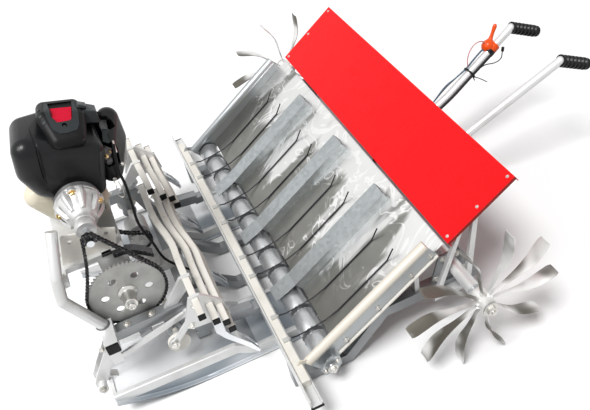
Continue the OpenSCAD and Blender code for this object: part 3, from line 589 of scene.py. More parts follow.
def finish_piece(name, data, body, finish, replaces=(), sharp=35, edge=0.0):
    """A piece on a body. Turns of more than sharp degrees stay crisp, and edge rounds them by so
    many millimetres."""
    data.materials.append(finish)
    data.polygons.foreach_set("use_smooth", [True] * len(data.polygons))
    data.set_sharp_from_angle(angle=math.radians(sharp))
    obj = new_object(name, data)
    if edge:
        round_edges(obj, edge)
    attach(obj, body)
    if replaces:
        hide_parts(*replaces)
    print(name, "faces:", len(data.polygons))
    return obj


# %% [markdown]
# Shape draws in millimetres, in a place set by at(). Its loft() joins rings of points, and the
# lathe, the plate and the tube are lofts too, so every solid is closed in the same way.

# %% Shape
def circle(radius, sides):
    """The corners of a regular polygon with this many sides."""
    return [(radius * math.cos(a), radius * math.sin(a)) for a in
        (math.tau * i / sides for i in range(sides))]


class Shape:
    """A mesh being made, in millimetres of the machine's own frame."""

    def __init__(self):
        self.mesh, self.place = bmesh.new(), Matrix.Identity(4)

    def at(self, origin, z_axis=(0, 0, 1), x_axis=(1, 0, 0)):
        """The next forms are drawn here, with their z and x axes pointing as given."""
        z = Vector(z_axis).normalized()
        x = Vector(x_axis) - Vector(x_axis).dot(z) * z
        if x.length < 1e-4:
            x = z.orthogonal()
        x.normalize()
        self.place = Matrix.Translation(origin) @ Matrix((x, z.cross(x), z)).transposed().to_4x4()
        return self

    def from_side(self, x, y=0, z=0):
        """The next forms are drawn as seen from the side: their x runs along Y, their y along Z."""
        return self.at((x, y, z), (1, 0, 0), (0, 1, 0))

    def loft(self, rings, loop=False):
        """A solid between rings of points, closed at both ends or joined into a loop."""
        made = [[self.mesh.verts.new(self.place @ Vector(p)) for p in ring] for ring in rings]
        for low, high in list(zip(made, made[1:])) + ([(made[-1], made[0])] if loop else []):
            for i in range(len(low)):
                j = (i + 1) % len(low)
                self.mesh.faces.new((low[i], low[j], high[j], high[i]))
        if not loop:
            self.mesh.faces.new(made[0][::-1])
            self.mesh.faces.new(made[-1])
        return self

    def lathe(self, profile, sides=28):
        """A solid turned round the z axis from rows of radius and height."""
        return self.loft([[(x, y, h) for x, y in circle(r, sides)] for r, h in profile])

    def plate(self, outline, low, high):
        """A flat outline of x and y, from height low to height high."""
        return self.loft([[(x, y, h) for x, y in outline] for h in (low, high)])

    def tube(self, points, radius, sides=10, loop=False):
        """A rod or cable along points, with one radius or a list of them. Its ring is carried
        along without twisting."""
        path = [Vector(p) for p in points]
        last = len(path) - 1
        rings, side = [], None
        for i, point in enumerate(path):
            ahead = path[(i + 1) % len(path)] if loop else path[min(i + 1, last)]
            back = path[i - 1] if loop else path[max(i - 1, 0)]
            along = (ahead - back).normalized()
            side = (side - side.dot(along) * along if side else along.orthogonal()).normalized()
            other = along.cross(side)
            size = radius[i] if isinstance(radius, list) else radius
            rings.append([point + x * side + y * other for x, y in circle(size, sides)])
        return self.loft(rings, loop)

    def data(self, name="form"):
        """The drawing as mesh data in metres, with its faces turned outwards."""
        bmesh.ops.recalc_face_normals(self.mesh, faces=self.mesh.faces[:])
        self.mesh.transform(Matrix.Scale(MM, 4))
        return mesh_data(self.mesh, name)

    def piece(self, name, body, finish, slot, replaces=(), sharp=35, edge=0.0):
        return finish_piece(name, self.data(name), body, finish, replaces, sharp, edge)


print("Shape is ready")

# %% [markdown]
# Cables and pressed strips follow smooth lines. A Bezier curve would need handles, so the
# lines here go through their points by themselves: each short piece leaves a point in the
# direction of its two neighbours.

# %% Smooth lines
def smooth_path(points, steps):
    """A smooth line through the points, steps short pieces between two of them."""
    p = [Vector(q) for q in points]
    p = [2 * p[0] - p[1]] + p + [2 * p[-1] - p[-2]]
    line = []
    for a, b, c, d in zip(p, p[1:], p[2:], p[3:]):
        for k in range(steps):
            t = k / steps
            line.append(0.5 * (2 * b + (c - a) * t + (2 * a - 5 * b + 4 * c - d) * t * t
                + (3 * b - a - 3 * c + d) * t ** 3))
    return line + [p[-2]]


print("points of a line through 3 in 4 steps:", len(smooth_path([(0, 0, 0), (1, 0, 0), (1, 1, 0)], 4)))

# %% [markdown]
# Nothing says machine like its fasteners. A screw is a washer and a hexagon with a chamfered
# top, and a stud where a nut sits on a thread. One function draws it on any surface, and its
# sizes are shares of the width over the flats, all but the length of the stud.

# %% Screw
WASHER, WASHER_TOP, HEAD_TALL, CHAMFER = 0.92, 0.18, 0.62, 0.86


def screw(shape, place, axis, size, stud):
    """A washer and a hexagon, size millimetres across its flats, pointing along axis."""
    shape.at(place, axis)
    shape.lathe([(size * WASHER, 0), (size * WASHER, size * 0.12), (size * 0.86, size * WASHER_TOP)], 20)
    tall, hexagon = size * HEAD_TALL, circle(size / math.sqrt(3), 6)
    shape.loft([[(x, y, 0) for x, y in hexagon], [(x, y, tall * CHAMFER) for x, y in hexagon],
        [(x * CHAMFER, y * CHAMFER, tall) for x, y in hexagon]])
    if stud:
        shape.lathe([(size * 0.3, 0), (size * 0.3, tall + stud), (size * 0.22, tall + stud + 0.8)], 14)


print("a screw of 8 mm is", round(8 / math.sqrt(3) * 2, 1), "mm over its corners")

# %% [markdown]
# ## Roller chain
# A roller chain alternates inner links, whose plates hold the rollers, with outer links that
# clasp them from outside. Each plate is waisted like a figure of eight. An array along a curve
# would spread the rollers evenly, but on a chain wheel they must lie between the teeth. So the
# script lays rollers between the teeth first and shares the free runs between them.

# %% Lay the rollers
PITCH, SAG = 8.0, 4.5
# Wheels as their centre's y and z, and their teeth
BIG_WHEEL, SMALL_WHEEL = (*COUNTER_SHAFT, 60), (*CRANKSHAFT, 10)
TRANSFER_LOW, TRANSFER_HIGH = (*COUNTER_SHAFT, 17), (446, 208, 17)


def wheel_rollers(wheel, start, end):
    """Rollers between the teeth of one wheel, from angle start to angle end in degrees."""
    y, z, teeth = wheel
    step, radius = 360 / teeth, PITCH / 2 / math.sin(math.pi / teeth)
    first = math.ceil(start / step - 0.5)
    last = math.floor(end / step - 0.5)
    return [Vector((y + radius * math.cos(math.radians((i + 0.5) * step)),
        z + radius * math.sin(math.radians((i + 0.5) * step)))) for i in range(first, last + 1)]


def chain_rollers(a, b):
    """The rollers of a closed chain round wheels a and b, in order, with an even count."""
    radii = [PITCH / 2 / math.sin(math.pi / w[2]) for w in (a, b)]
    line = Vector((b[0] - a[0], b[1] - a[1]))
    heading = math.degrees(math.atan2(line.y, line.x))
    beta = math.degrees(math.acos((radii[0] - radii[1]) / line.length))
    around_a = wheel_rollers(a, heading + beta, heading + 360 - beta)
    around_b = wheel_rollers(b, heading - beta + 360, heading + beta + 360)
    rollers, sag = [], SAG
    for arc, other in ((around_a, around_b), (around_b, around_a)):
        rollers += arc
        gap = other[0] - arc[-1]
        free = round(gap.length / PITCH) - 1
        inward = Vector((-gap.y, gap.x)).normalized()
        for k in range(free):
            share = (k + 1) / (free + 1)
            rollers.append(arc[-1] + gap * share + inward * sag * math.sin(math.pi * share))
        sag = 0.0
    return rollers


print("rollers of the drive chain:", len(chain_rollers(BIG_WHEEL, SMALL_WHEEL)))

# %% [markdown]
# The plates lie in two layers on each side, inner and outer links in turn. A roller is a short
# cylinder between them, and its pin sticks out a little.

# %% Draw the links
DRIVE_X, TRANSFER_X = -188, -20
PLATE_HALF, WAIST, ROLLER_R, PIN_R = 3.3, 0.68, 2.35, 1.15
INNER_PLATE, OUTER_PLATE = (2.5, 3.4), (3.6, 4.5)


def link_plate(p, q, half):
    """Outline of a figure of eight plate from roller p to roller q."""
    along = (q - p).normalized()
    across = Vector((-along.y, along.x))
    outline = []
    for centre, turn in ((p, math.pi), (q, 0.0)):
        for k in range(-3, 4):
            a = turn + k * math.pi / 6.4
            outline.append(centre + half * (math.cos(a) * along + math.sin(a) * across))
        outline.append((p + q) / 2 + (-1 if turn else 1) * WAIST * half * across)
    return outline


def draw_chain(name, x, a, b, replaces):
    """The links, rollers and pins of a chain round wheels a and b, in the plane at x."""
    shape = Shape().from_side(x)
    rollers = chain_rollers(a, b)
    for i, p in enumerate(rollers):
        q = rollers[(i + 1) % len(rollers)]
        low, high = INNER_PLATE if i % 2 else OUTER_PLATE
        for side in (-1, 1):
            shape.plate(link_plate(p, q, PLATE_HALF), side * low, side * high)
        shape.from_side(x, p.x, p.y)
        shape.plate(circle(ROLLER_R, 10), -2.45, 2.45).plate(circle(PIN_R, 8), -5.0, 5.0)
        shape.from_side(x)
    shape.piece(name, "machine", CHAIN, "chain_steel", replaces, sharp=40)


draw_chain("drive_chain_links", DRIVE_X, BIG_WHEEL, SMALL_WHEEL, ("drive_chain",))
draw_chain("transfer_chain_links", TRANSFER_X, TRANSFER_LOW, TRANSFER_HIGH, ("transfer_chain",))

# %% [markdown]
# ## Feed rollers
# Three short rollers in each lane push the seedling mat down to the planting claws. Their
# ends carry bright star discs whose points bite into the mat. A star is an outline that goes
# in and out, cut as thin plate, so a loop makes all twenty four.

# %% Star discs of the feed rollers
LANE, ROLLERS_IN_LANE, STAR_OUT = 196, 3, 26.4
FEED_SHAFT = (198, 58)
points, hollows = circle(26.2, 36), circle(24.6, 36)
star = [points[k] if k % 2 else hollows[k] for k in range(36)]
stars = Shape()
for k in range(4 * ROLLERS_IN_LANE):
    middle = (k + 0.5) * LANE / ROLLERS_IN_LANE - 2 * LANE
    for end in (-1, 1):
        stars.from_side(middle + end * STAR_OUT, *FEED_SHAFT)
        stars.plate(star, -0.7, 0.7)
        stars.lathe([(11, end * 0.8), (11, end * 2.6), (9, end * 3.2)][::end], 20)
stars.piece("roller_stars", "feed_shaft", ROLLER_STEEL, "bright_steel", sharp=25)

# %% [markdown]
# ## Engine covers
# The engine hides under charcoal mouldings with generous corners. A hull round a few balls is
# the quickest way to a smooth moulded body: only the balls' places and radii are chosen, and
# every edge comes out rounded. The covers in the frame are made of flat facets and are plain,
# so each is replaced by a finer hull with its own cuts. Places are measured from the
# crankshaft at the near face of the engine.

# %% Hulls for the covers
ENGINE = Vector((-79, *CRANKSHAFT))


def on_engine(points):
    """Points of the frame from points that are measured from the crankshaft."""
    return [ENGINE + Vector(p) for p in points]


def ball_hull(balls, grow=0.0, rows=14):
    """A convex body stretched round balls given as x, y, z and radius from the crankshaft."""
    body = bmesh.new()
    for x, y, z, r in balls:
        for i in range(rows + 1):
            height = (r + grow) * math.cos(math.pi * i / rows)
            ring = circle((r + grow) * math.sin(math.pi * i / rows), 2 * rows if 0 < i < rows else 1)
            for u, v in ring:
                body.verts.new((ENGINE + Vector((x + u, y + v, z + height))) * MM)
    bmesh.ops.convex_hull(body, input=body.verts[:])
    loose = [v for v in body.verts if not v.link_faces]
    bmesh.ops.delete(body, geom=loose, context="VERTS")
    return mesh_data(body)


def slab(outline, along, low, high):
    """A block between two copies of an outline that lies on a cover, moved along a direction."""
    away = Vector(along).normalized()
    return Shape().loft([[p + away * h for p in on_engine(outline)] for h in (low, high)])


print("the crankshaft leaves the engine at", tuple(ENGINE))

# %% [markdown]
# A boolean cuts one hull with others. The exact solver is the slow one, but hulls that share a
# surface come out clean, and the covers have few faces. Its result is taken as new mesh data,
# so that no modifier and no cutter stays behind.

# %% Cutting a cover
def cut(data, cutters, operation="DIFFERENCE"):
    """The mesh after an exact boolean with each cutter in turn."""
    host = new_object("host", data)
    tools = []
    for cutter in cutters:
        tool = new_object("tool", cutter)
        boolean = host.modifiers.new("cut", "BOOLEAN")
        boolean.operation, boolean.solver, boolean.object = operation, "EXACT", tool
        tools.append(tool)
    result = bpy.data.meshes.new_from_object(host.evaluated_get(bpy.context.evaluated_depsgraph_get()))
    for obj in [host, *tools]:
        bpy.data.objects.remove(obj)
    return result


# %% [markdown]
# The big shroud has a sharp crease that starts thin on its top and widens down the front. It
# could be modelled into the faces by hand, but a tapering rod that is cut out of the hull can
# be moved by changing a few points.

# %% Shroud
SHROUD = [(42, 43, 121, 29), (43, 50, 81, 30), (42, 40, 46, 28), (33, 23, 21, 18), (33, -43, 3, 18),
    (33, -64, 80, 20), (115, 41, 120, 26), (115, 11, 118, 26), (115, -59, 96, 22),
    (115, -44, 29, 22), (115, 54, 80, 26)]
CREASE = [(84, 24, 149), (69, 24, 148), (43, 23, 145), (23, 22, 139), (14.5, 24, 124),
    (12.6, 28, 102), (12.4, 32, 78), (8, 35, 54)]
THIN, WIDER, WIDE_AFTER = 1.2, 3.2, 14

crease_line = on_engine(smooth_path(CREASE, 3))
crease_radii = [THIN + WIDER * min(k / WIDE_AFTER, 1.0) for k in range(len(crease_line))]
crease = Shape().tube(crease_line, crease_radii, 8)
shroud = cut(ball_hull(SHROUD), [crease.data()])
finish_piece("engine_shroud", shroud, "machine", CHARCOAL, ("muffler_cover",))

# %% [markdown]
# The hood over the spark plug is dark, with a paler plate set into its top. That plate is cut
# like a biscuit: a slightly larger hull, cut by a block with the plate's outline. A pocket for
# the label and a hole for the screw go through both.

# %% Hood
HOOD = [(27, -15, 126, 15), (27, -49, 120, 15), (109, -9, 150, 15), (109, -58, 136, 15),
    (69, -6, 156, 14), (69, -62, 135, 14)]
HOOD_UP, PLATE_PROUD = (-0.30, -0.29, 0.91), 1.3
PLATE = [(102, -14, 165), (103, -40, 157), (102, -64, 150), (63, -66, 147), (38, -60, 138),
    (26, -53, 136), (24, -35, 138), (25, -24, 141), (34, -14, 149), (51, -12, 160), (71, -10, 169)]
POCKET = [(103, -19, 163), (104, -61, 151), (52, -53, 147), (47, -47, 147), (44, -26, 153), (56, -19, 161)]
SCREW_AT, SCREW_UP = ENGINE + Vector((38, -36, 147)), Vector((-0.44, -0.26, 0.86))

pocket = slab(POCKET, HOOD_UP, -2.6, 30).data()
screw_hole = Shape().at(SCREW_AT, SCREW_UP).plate(circle(4.6, 20), -5, 12).data()
hood = cut(ball_hull(HOOD), [ball_hull(SHROUD), pocket, screw_hole])
finish_piece("hood_skirt", hood, "machine", BLACK, ("plug_cover",))
biscuit = slab(PLATE, HOOD_UP, -14, 30).data()
top_plate = cut(ball_hull(HOOD, PLATE_PROUD), [biscuit], "INTERSECT")
top_plate = cut(top_plate, [ball_hull(HOOD, -0.2), pocket, screw_hole])
finish_piece("hood_plate", top_plate, "machine", COVER_GREY)

# %% [markdown]
# The red foil lies in its pocket with a little room round it, and the hood's screw and three
# vent plugs are turned. They are separate pieces, because each has another finish.

# %% Label, screw and vents
LABEL = [(84, -20, 165), (86, -59, 152), (53, -52, 147), (48, -46, 147), (46, -26, 153), (58, -20, 161)]
ROOM = 0.97
# Rows of: place from the crankshaft, direction
VENTS = [((83, -1, 167), (0.1, 0.5, 0.87)), ((62, -2, 167), (-0.45, 0.3, 0.84)),
    ((50, -5, 159), (-0.58, 0.24, 0.78))]

middle = sum((Vector(p) for p in LABEL), Vector()) / len(LABEL)
label = slab([middle + (Vector(p) - middle) * ROOM for p in LABEL], HOOD_UP, -2.7, -1.6)
label.piece("hood_label", "machine", LABEL_RED, "panel_red", edge=0.4)
hood_screw = Shape().at(SCREW_AT - SCREW_UP * 4, SCREW_UP).lathe([(3.2, -1), (3.2, 1.4), (2.4, 2.2)], 16)
hood_screw.piece("hood_screw", "machine", DARK_STEEL, "bright_steel")
vents = Shape()
for place, direction in VENTS:
    vents.at(ENGINE + Vector(place), direction, (1, 0.4, 0))
    vents.lathe([(4.2, -2), (4.2, 0.5), (3.4, 1.0)], 18)
vents.piece("hood_vents", "machine", COVER_GREY, "engine_shroud")

# %% [markdown]
# The air cleaner stands at the back of the engine and is open towards the carburettor, so its
# hull gets a deep cavity. A stepped block covers the choke, with a dark wall under it, and the
# cream fuel tank hangs below the shroud.

# %% Air cleaner, choke and tank
CLEANER = [(53, -80, 9, 22), (53, -85, 57, 20), (119, -109, 81, 22), (119, -107, 35, 24), (119, -97, -7, 22)]
CAVITY = [(112, -90, 96), (103, -108, 97), (92, -116, 90), (84, -118, 80), (66, -100, 84), (50, -100, 72),
    (52, -107, 56), (38, -102, 28), (30, -78, 34), (34, -74, 60), (60, -76, 88)]
CHOKE = {
    "choke_block": (COVER_GREY, [(112, -76, 132, 3), (110, -94, 121, 3), (76, -72, 139, 3),
        (76, -92, 129, 3), (112, -72, 112, 4), (112, -92, 100, 4), (72, -68, 121, 4), (72, -92, 111, 4)]),
    "choke_cap": (COVER_GREY, [(106, -70, 141, 4), (82, -70, 148, 4), (106, -80, 136, 3), (82, -80, 142, 3)]),
    "intake_wall": (BLACK, [(114, -64, 112, 5), (114, -100, 98, 5), (114, -64, 60, 5), (114, -100, 50, 5)])}
TANK_BALLS = [(69, 70, 4, 24), (69, 47, -40, 23), (69, -34, -49, 22), (123, 55, -2, 24), (123, -31, -50, 22)]

cavity = slab(CAVITY, (-0.56, -0.2, 0.8), -26, 30).data()
cleaner = cut(ball_hull(CLEANER), [ball_hull(SHROUD), cavity])
finish_piece("air_cleaner_shell", cleaner, "machine", CHARCOAL, ("air_cleaner",))
for name, (finish, balls) in CHOKE.items():
    finish_piece(name, ball_hull(balls), "machine", finish)
tank = cut(ball_hull(TANK_BALLS), [ball_hull(SHROUD)])
finish_piece("fuel_tank_shell", tank, "machine", TANK, ("fuel_tank",))

# %% [markdown]
# In the cavity sits the carburettor: a round body, a grey arm, brass jets, a wire spring and
# the plated end of the cable. Most of them are turned, so rows of places, directions and
# profiles say it all.

# %% Carburettor
ARM = [(80, -93, 88), (77, -108, 82), (54, -102, 72), (47, -95, 74), (52, -86, 79)]
SPRING = [(30, -76, 0), (19, -76, -8), (19, -72, -22), (19, -76, -34), (19, -82, -35), (19, -85, -20),
    (24, -83, -1)]


def turned(shape, rows):
    """Lathe forms on the engine, from rows of: place, direction, profile and sides."""
    for place, direction, profile, sides in rows:
        shape.at(ENGINE + Vector(place), direction).lathe(profile, sides)
    return shape.at((0, 0, 0))


carb = turned(Shape(), [((58, -82, 52), (0.3, -0.6, 0.5), [(13, -14), (13, 4), (10, 7), (10, 10)], 24),
    ((50, -80, 34), (-1, -0.3, 0.2), [(9, -12), (9, 3), (6, 5), (6, 8)], 20)])
carb.at(ENGINE + Vector((96, -100, 86)), (-0.5, -0.3, 0.8))
carb.plate([(-16, -7), (12, -7), (14, 4), (2, 9), (-14, 6)], -9, -6)
carb.piece("carburettor", "machine", DARK_CAST, "engine_metal", edge=0.8)
arm = slab(ARM, (-0.45, -0.29, 0.85), -4, -1.5)
arm.piece("choke_arm", "machine", COVER_GREY, "engine_shroud", edge=0.6)
jets = turned(Shape(), [((36, -82, 54), (-1, -0.2, 0.4), [(3.6, -8), (3.6, 0), (2.2, 1), (2.2, 5)], 14),
    ((40, -90, 58), (-1, -0.2, 0.4), [(2.4, -8), (2.4, 1), (1.5, 2), (1.5, 4)], 12)])
jets.piece("brass_jets", "machine", BRASS, "bright_steel")
ferrule = Shape().tube(on_engine([(46, -103, 76), (42, -102, 66), (36, -101, 55)]), 2.4, 12)
ferrule.tube(on_engine(smooth_path(SPRING, 5)), 0.9, 8)
turned(ferrule, [((34, -103, 27), (-1, -0.4, 0.2), [(3.4, -6), (3.4, 1.2), (2.4, 2.2)], 14),
    ((32, -78, 2), (-1, 0, -0.1), [(4.2, -6), (4.2, 1.2), (3, 2.4)], 14)])
ferrule.piece("cable_end", "machine", ZINC_BOLT, "bright_steel")

# %% [markdown]
# ## Clutch bell
# The bell between engine and drive shaft is cast, with ribs that run down its cone, ears for
# the brass screws and a bright turned neck. The one in the frame is a plain turned cone with
# windows. This one is turned too, and the ribs and ears are small lofts set round it.

# %% Clutch bell
BELL_PROFILE = [(45, -1), (45, 3), (43.5, 4), (43.5, 9), (41, 12), (37.5, 16), (31, 33), (27.5, 42),
    (25, 45), (21.5, 48), (20, 51), (20, 60), (18.6, 61), (18.6, 66), (20, 67), (20, 80), (18.6, 83), (8, 83)]
# Rows of: top of the rib over the axis, its width, distance from the engine
RIB_ROWS = [(46.6, 6.4, 3), (46.4, 6.0, 9), (43.6, 5.2, 20), (37, 4.2, 33), (29.4, 3.2, 45)]
RIBS, RIB_TALL, EAR_RING, EAR_TURN, EAR_TALL = 8, 6, 37.6, 0.39, 11.6
BELL_OUT = (-1, 0, 0)


def round_bell(k, extra=0.0):
    """The direction of rib k from the axis of the shaft."""
    a = math.tau * (k + 0.5) / RIBS + extra
    return Vector((0, math.cos(a), math.sin(a)))


bell = Shape().at(ENGINE, BELL_OUT, (0, 1, 0)).lathe(BELL_PROFILE, 56)
for k in range(RIBS):
    bell.at(ENGINE, BELL_OUT, round_bell(k))
    bell.loft([[(r - RIB_TALL, -1.6 * w, h), (r - RIB_TALL, 1.6 * w, h), (r, 0.4 * w, h), (r, -0.4 * w, h)]
        for r, w, h in RIB_ROWS])
ears = [EAR_RING * round_bell(k, EAR_TURN) for k in range(1, RIBS, 2)]
for ear in ears:
    bell.at(ENGINE + ear, BELL_OUT).lathe([(9.4, 0), (9.4, 10.5), (8.6, EAR_TALL)], 24)
bell.piece("clutch_bell", "machine", BELL_CAST, "engine_metal", ("clutch_housing",), edge=0.5)
brass = Shape()
for ear in ears:
    screw(brass, ENGINE + ear + EAR_TALL * Vector(BELL_OUT), BELL_OUT, 8.5, 0)
brass.piece("bell_screws", "machine", BRASS, "bright_steel", sharp=30)

# %% [markdown]
# ## Planting rods
# The planting arms hang on square rods. Each rod is in two halves: the far half is nearly
# straight, and the near half bows forward in the middle so that the two ends lie side by side,
# where a small screw joins them. A bent tube could be a curve with a bevel object, but a loft
# of equal square rings along a smooth line keeps its corners upright. Black plugs close the
# ends.

# %% Rods and plugs
# The four rods, as y and z
RODS = [(393, 233), (371, 206), (354, 192), (348, 168)]
ROD_END, HALF_ROD, CORNER = 312, 7.0, 1.6
BOW = [(-ROD_END, 0), (-262, 0), (-206, 0), (-150, -0.5), (-105, -2), (-70, 1.5), (-35, 7), (5, 11.5),
    (50, 12), (120, 10)]
FAR_HALF = [(92, -4.6), (150, -3.4), (206, 0), (ROD_END, 0)]
# Rows of: end of a half rod, its shift forward, the way out of it
ROD_MOUTHS = [(-ROD_END, 0, -1), (ROD_END, 0, 1), (120, 10, 1), (92, -4.6, -1)]


def rounded_square(half, corner, steps=3):
    """The outline of a square tube, half its width to each side."""
    ring = []
    for k, (right, up) in enumerate(((1, 1), (-1, 1), (-1, -1), (1, -1))):
        for i in range(steps + 1):
            a = math.pi / 2 * (k + i / steps)
            ring.append((right * (half - corner) + corner * math.cos(a),
                up * (half - corner) + corner * math.sin(a)))
    return ring


def square_loft(shape, rows, corner):
    """Rounded squares one above the other, from rows of half width and height."""
    shape.loft([[(u, v, h) for u, v in rounded_square(half, corner)] for half, h in rows])


rods, plugs = Shape(), Shape()
for y, z in RODS:
    for line in (smooth_path([(x, y + shift, z) for x, shift in BOW], 4),
            [(x, y + shift, z) for x, shift in FAR_HALF]):
        rods.loft([[(p[0], p[1] + u, p[2] + v) for u, v in rounded_square(HALF_ROD, CORNER)] for p in line])
    for x, shift, out in ROD_MOUTHS:
        plugs.at((x, y + shift, z), (out, 0, 0), (0, 1, 0))
        square_loft(plugs, [(7.4, -0.2), (7.4, 1.6), (6.4, 2.6)], CORNER)
for x in (-262, 262):
    plugs.at((x, 566, 195), (x, 0, 0), (0, 1, 0))
    square_loft(plugs, [(12.6, -0.2), (12.6, 2), (11, 3.2)], 2)
rods.piece("planting_rods", "machine", CREAM, "cream_paint", ("planting_bars",), sharp=30)
plugs.piece("rod_plugs", "machine", BLACK, "black_plastic", edge=0.3)

# %% [markdown]
# ## Paddle wheels
# A blade is pressed from one strip: narrow at the hub, wide and slightly hollow at the end,
# and turned back like a shovel so that it leaves the mud cleanly. The frame has it as two flat
# plates with a sharp bend. Here rings of ten points follow a smooth curve, widen, and round
# off at the tip.

# %% Rings of a blade
WHEEL_X, AXLE = 486, (-93, 158)
BLADES, TIP_R, SHOVEL, BEND = 10, 157.3, 52, math.radians(26)
BACK, REACH = SHOVEL * math.sin(BEND), SHOVEL * math.cos(BEND)
BEND_R = math.sqrt(TIP_R ** 2 - BACK ** 2) - REACH
LEAD = math.asin(BACK / TIP_R)
NARROW, WIDEN, HOLLOW, HALF_THICK, TIP_FROM = 4.8, 9.8, 1.6, 0.9, 0.93


def blade_line():
    """The middle of a blade that stands up from the axle, as y and height."""
    foot, knee, tip = Vector((0, 15, 0)), Vector((0, BEND_R, 0)), Vector((BACK, BEND_R + REACH, 0))
    stem = [foot.lerp(knee, share) for share in (0, 0.3, 0.6, 0.84)]
    return smooth_path(stem + [knee.lerp(tip, 0.14) + Vector((0.8, 0, 0)), knee.lerp(tip, 0.55), tip], 4)


def blade_rings():
    """Rings of one blade: narrow at its foot, wide and hollow further out, rounded at its tip."""
    line = blade_line()
    last = len(line) - 1
    rings = []
    for i, p in enumerate(line):
        share = i / last
        ahead = (line[min(i + 1, last)] - line[max(i - 1, 0)]).normalized()
        across = Vector((-ahead.y, ahead.x, 0))
        widen = min(max((share - 0.12) / 0.7, 0.0), 1.0)
        half = NARROW + WIDEN * widen * widen * (3 - 2 * widen)
        if share > TIP_FROM:
            half *= math.sqrt(1 - 0.35 * ((share - TIP_FROM) / (1 - TIP_FROM)) ** 2)
        ring = []
        for side, order in ((1, (-1, -0.5, 0, 0.5, 1)), (-1, (1, 0.5, 0, -0.5, -1))):
            for u in order:
                q = p + across * (side * HALF_THICK + HOLLOW * widen * (u * u - 0.5))
                ring.append((u * half, q.x, q.y))
        rings.append(ring)
    return rings


print("a blade has", len(blade_rings()), "rings and bends at", round(BEND_R), "mm")

# %% [markdown]
# Each blade is drawn standing up and then turned round the axle, so one form and two loops make
# all twenty. An oval weld bead lies round its foot, and a thick tube is the hub.

# %% Both wheels
for name, side in (("left", -1), ("right", 1)):
    wheel, centre = Shape(), (side * WHEEL_X, *AXLE)
    for k in range(BLADES):
        spin = Matrix.Rotation(math.tau * k / BLADES + math.pi - LEAD, 4, "X")
        wheel.place = Matrix.Translation(centre) @ spin
        wheel.loft(blade_rings())
        wheel.tube([(6.5 * x, 1.5 * y, 17) for x, y in circle(1, 14)], [1.5, 1.9] * 7, 6, loop=True)
    wheel.at(centre, (side, 0, 0))
    wheel.lathe([(9.1, -22), (15, -22), (16, -21), (16, 21), (15, 22), (9.1, 22)], 40)
    wheel.piece(f"wheel_{name}", "axle", BLADE_STEEL, "bright_steel", (f"paddle_wheel_{name}",), sharp=40)

# %% [markdown]
# ## Float rims
# The floats are folded from sheet: the deck sinks between two raised edges and steps down to a
# low tail. Each edge is one profile that follows the line of the float's top, because a sheet
# that is folded keeps its profile all along.

# %% Float rims
FLOAT_X, RIM_OUT, RIM_IN = 196, 69.5, 58
# Places along the top of a float, as y and height
FLOAT_TOP = [(611, 60), (560, 58.6), (480, 56), (400, 53.5), (352, 52), (306, 22), (78.5, 22)]
rims = Shape()
for x in (-FLOAT_X, FLOAT_X):
    for edge in (-1, 1):
        outer, inner = x + edge * RIM_OUT, x + edge * RIM_IN
        rims.loft([[(outer, y, z - 20), (outer, y, z + 3), (outer - edge * 2, y, z + 4.4),
            (inner, y, z + 4.4), (inner, y, z - 6), (outer - edge * 1.8, y, z - 20)][::edge]
            for y, z in FLOAT_TOP])
    rims.loft([[(x - 66, 604, low), (x + 66, 604, low), (x + 66, 611.8, high), (x - 66, 611.8, high)]
        for low, high in ((50, 50), (64, 63.4))])
rims.piece("float_rims", "machine", SILVER_WHITE, "galvanised", edge=0.8)

# %% [markdown]
# ## Trim of the tray
# The tray's floor ends in a lip that bridges the gap to the red panel, and a round bead runs
# along the lower edge of each side. The panel's ends are folded down and lie in the shade, which
# is painted into their colour as a darker red. All of them follow the slope, so their places are
# given along it and over it, and one function turns them into places on the machine.

# %% Lip, folds and beads
UP_SLOPE = (0, math.sin(SLOPE), math.cos(SLOPE))
LIP = [(281, -0.1), (303, -0.1), (305, -1.2), (305, -9), (303.6, -9), (303.6, -2), (281, -1.9)]
FOLD = [(311, -6), (483, -6), (483, 1.4), (311, 1.4)]
LIP_HALF, FOLD_X, FOLD_HALF, BEAD_X, BEAD_R = 391, 399.2, 0.9, 396, 3.2


def on_slope(x, s, n):
    """A place on the tray: x across to the near side, s up its slope, n above its floor."""
    return Vector((-x, TRAY_FOOT[0] - s * math.cos(SLOPE) + n * math.sin(SLOPE),
        TRAY_FOOT[1] + s * math.sin(SLOPE) + n * math.cos(SLOPE)))


def sloped_strip(shape, profile, low, high):
    """A profile of s and n, from low to high across the tray."""
    return shape.loft([[on_slope(x, s, n) for s, n in profile] for x in (low, high)])


lip = sloped_strip(Shape(), LIP, -LIP_HALF, LIP_HALF)
lip.piece("floor_lip", "tray", BRIGHT_SHEET, "galvanised")
folds, beads = Shape(), Shape()
for side in (-1, 1):
    sloped_strip(folds, FOLD, side * FOLD_X - FOLD_HALF, side * FOLD_X + FOLD_HALF)
    beads.tube([on_slope(side * BEAD_X, s, -9) for s in (10, 281)], BEAD_R, 12)
folds.piece("panel_end_folds", "machine", FOLD_SHADE_RED, "panel_red")
beads.piece("side_beads", "tray", CREAM, "galvanised")

# %% [markdown]
# ## Screws and nuts
# A fitter's bolts are all of one make, so a table of places, directions and widths is enough.
# There is one table for each body, because a nut on a wheel must turn with it.

# %% Screw tables
def both(rows):
    """The rows, and the same rows on the other side of the machine."""
    return rows + [((-p[0], *p[1:]), (-a[0], *a[1:]), *rest) for p, a, *rest in rows]


NEAR, UP = (-1, 0, 0), (0, 0, 1)
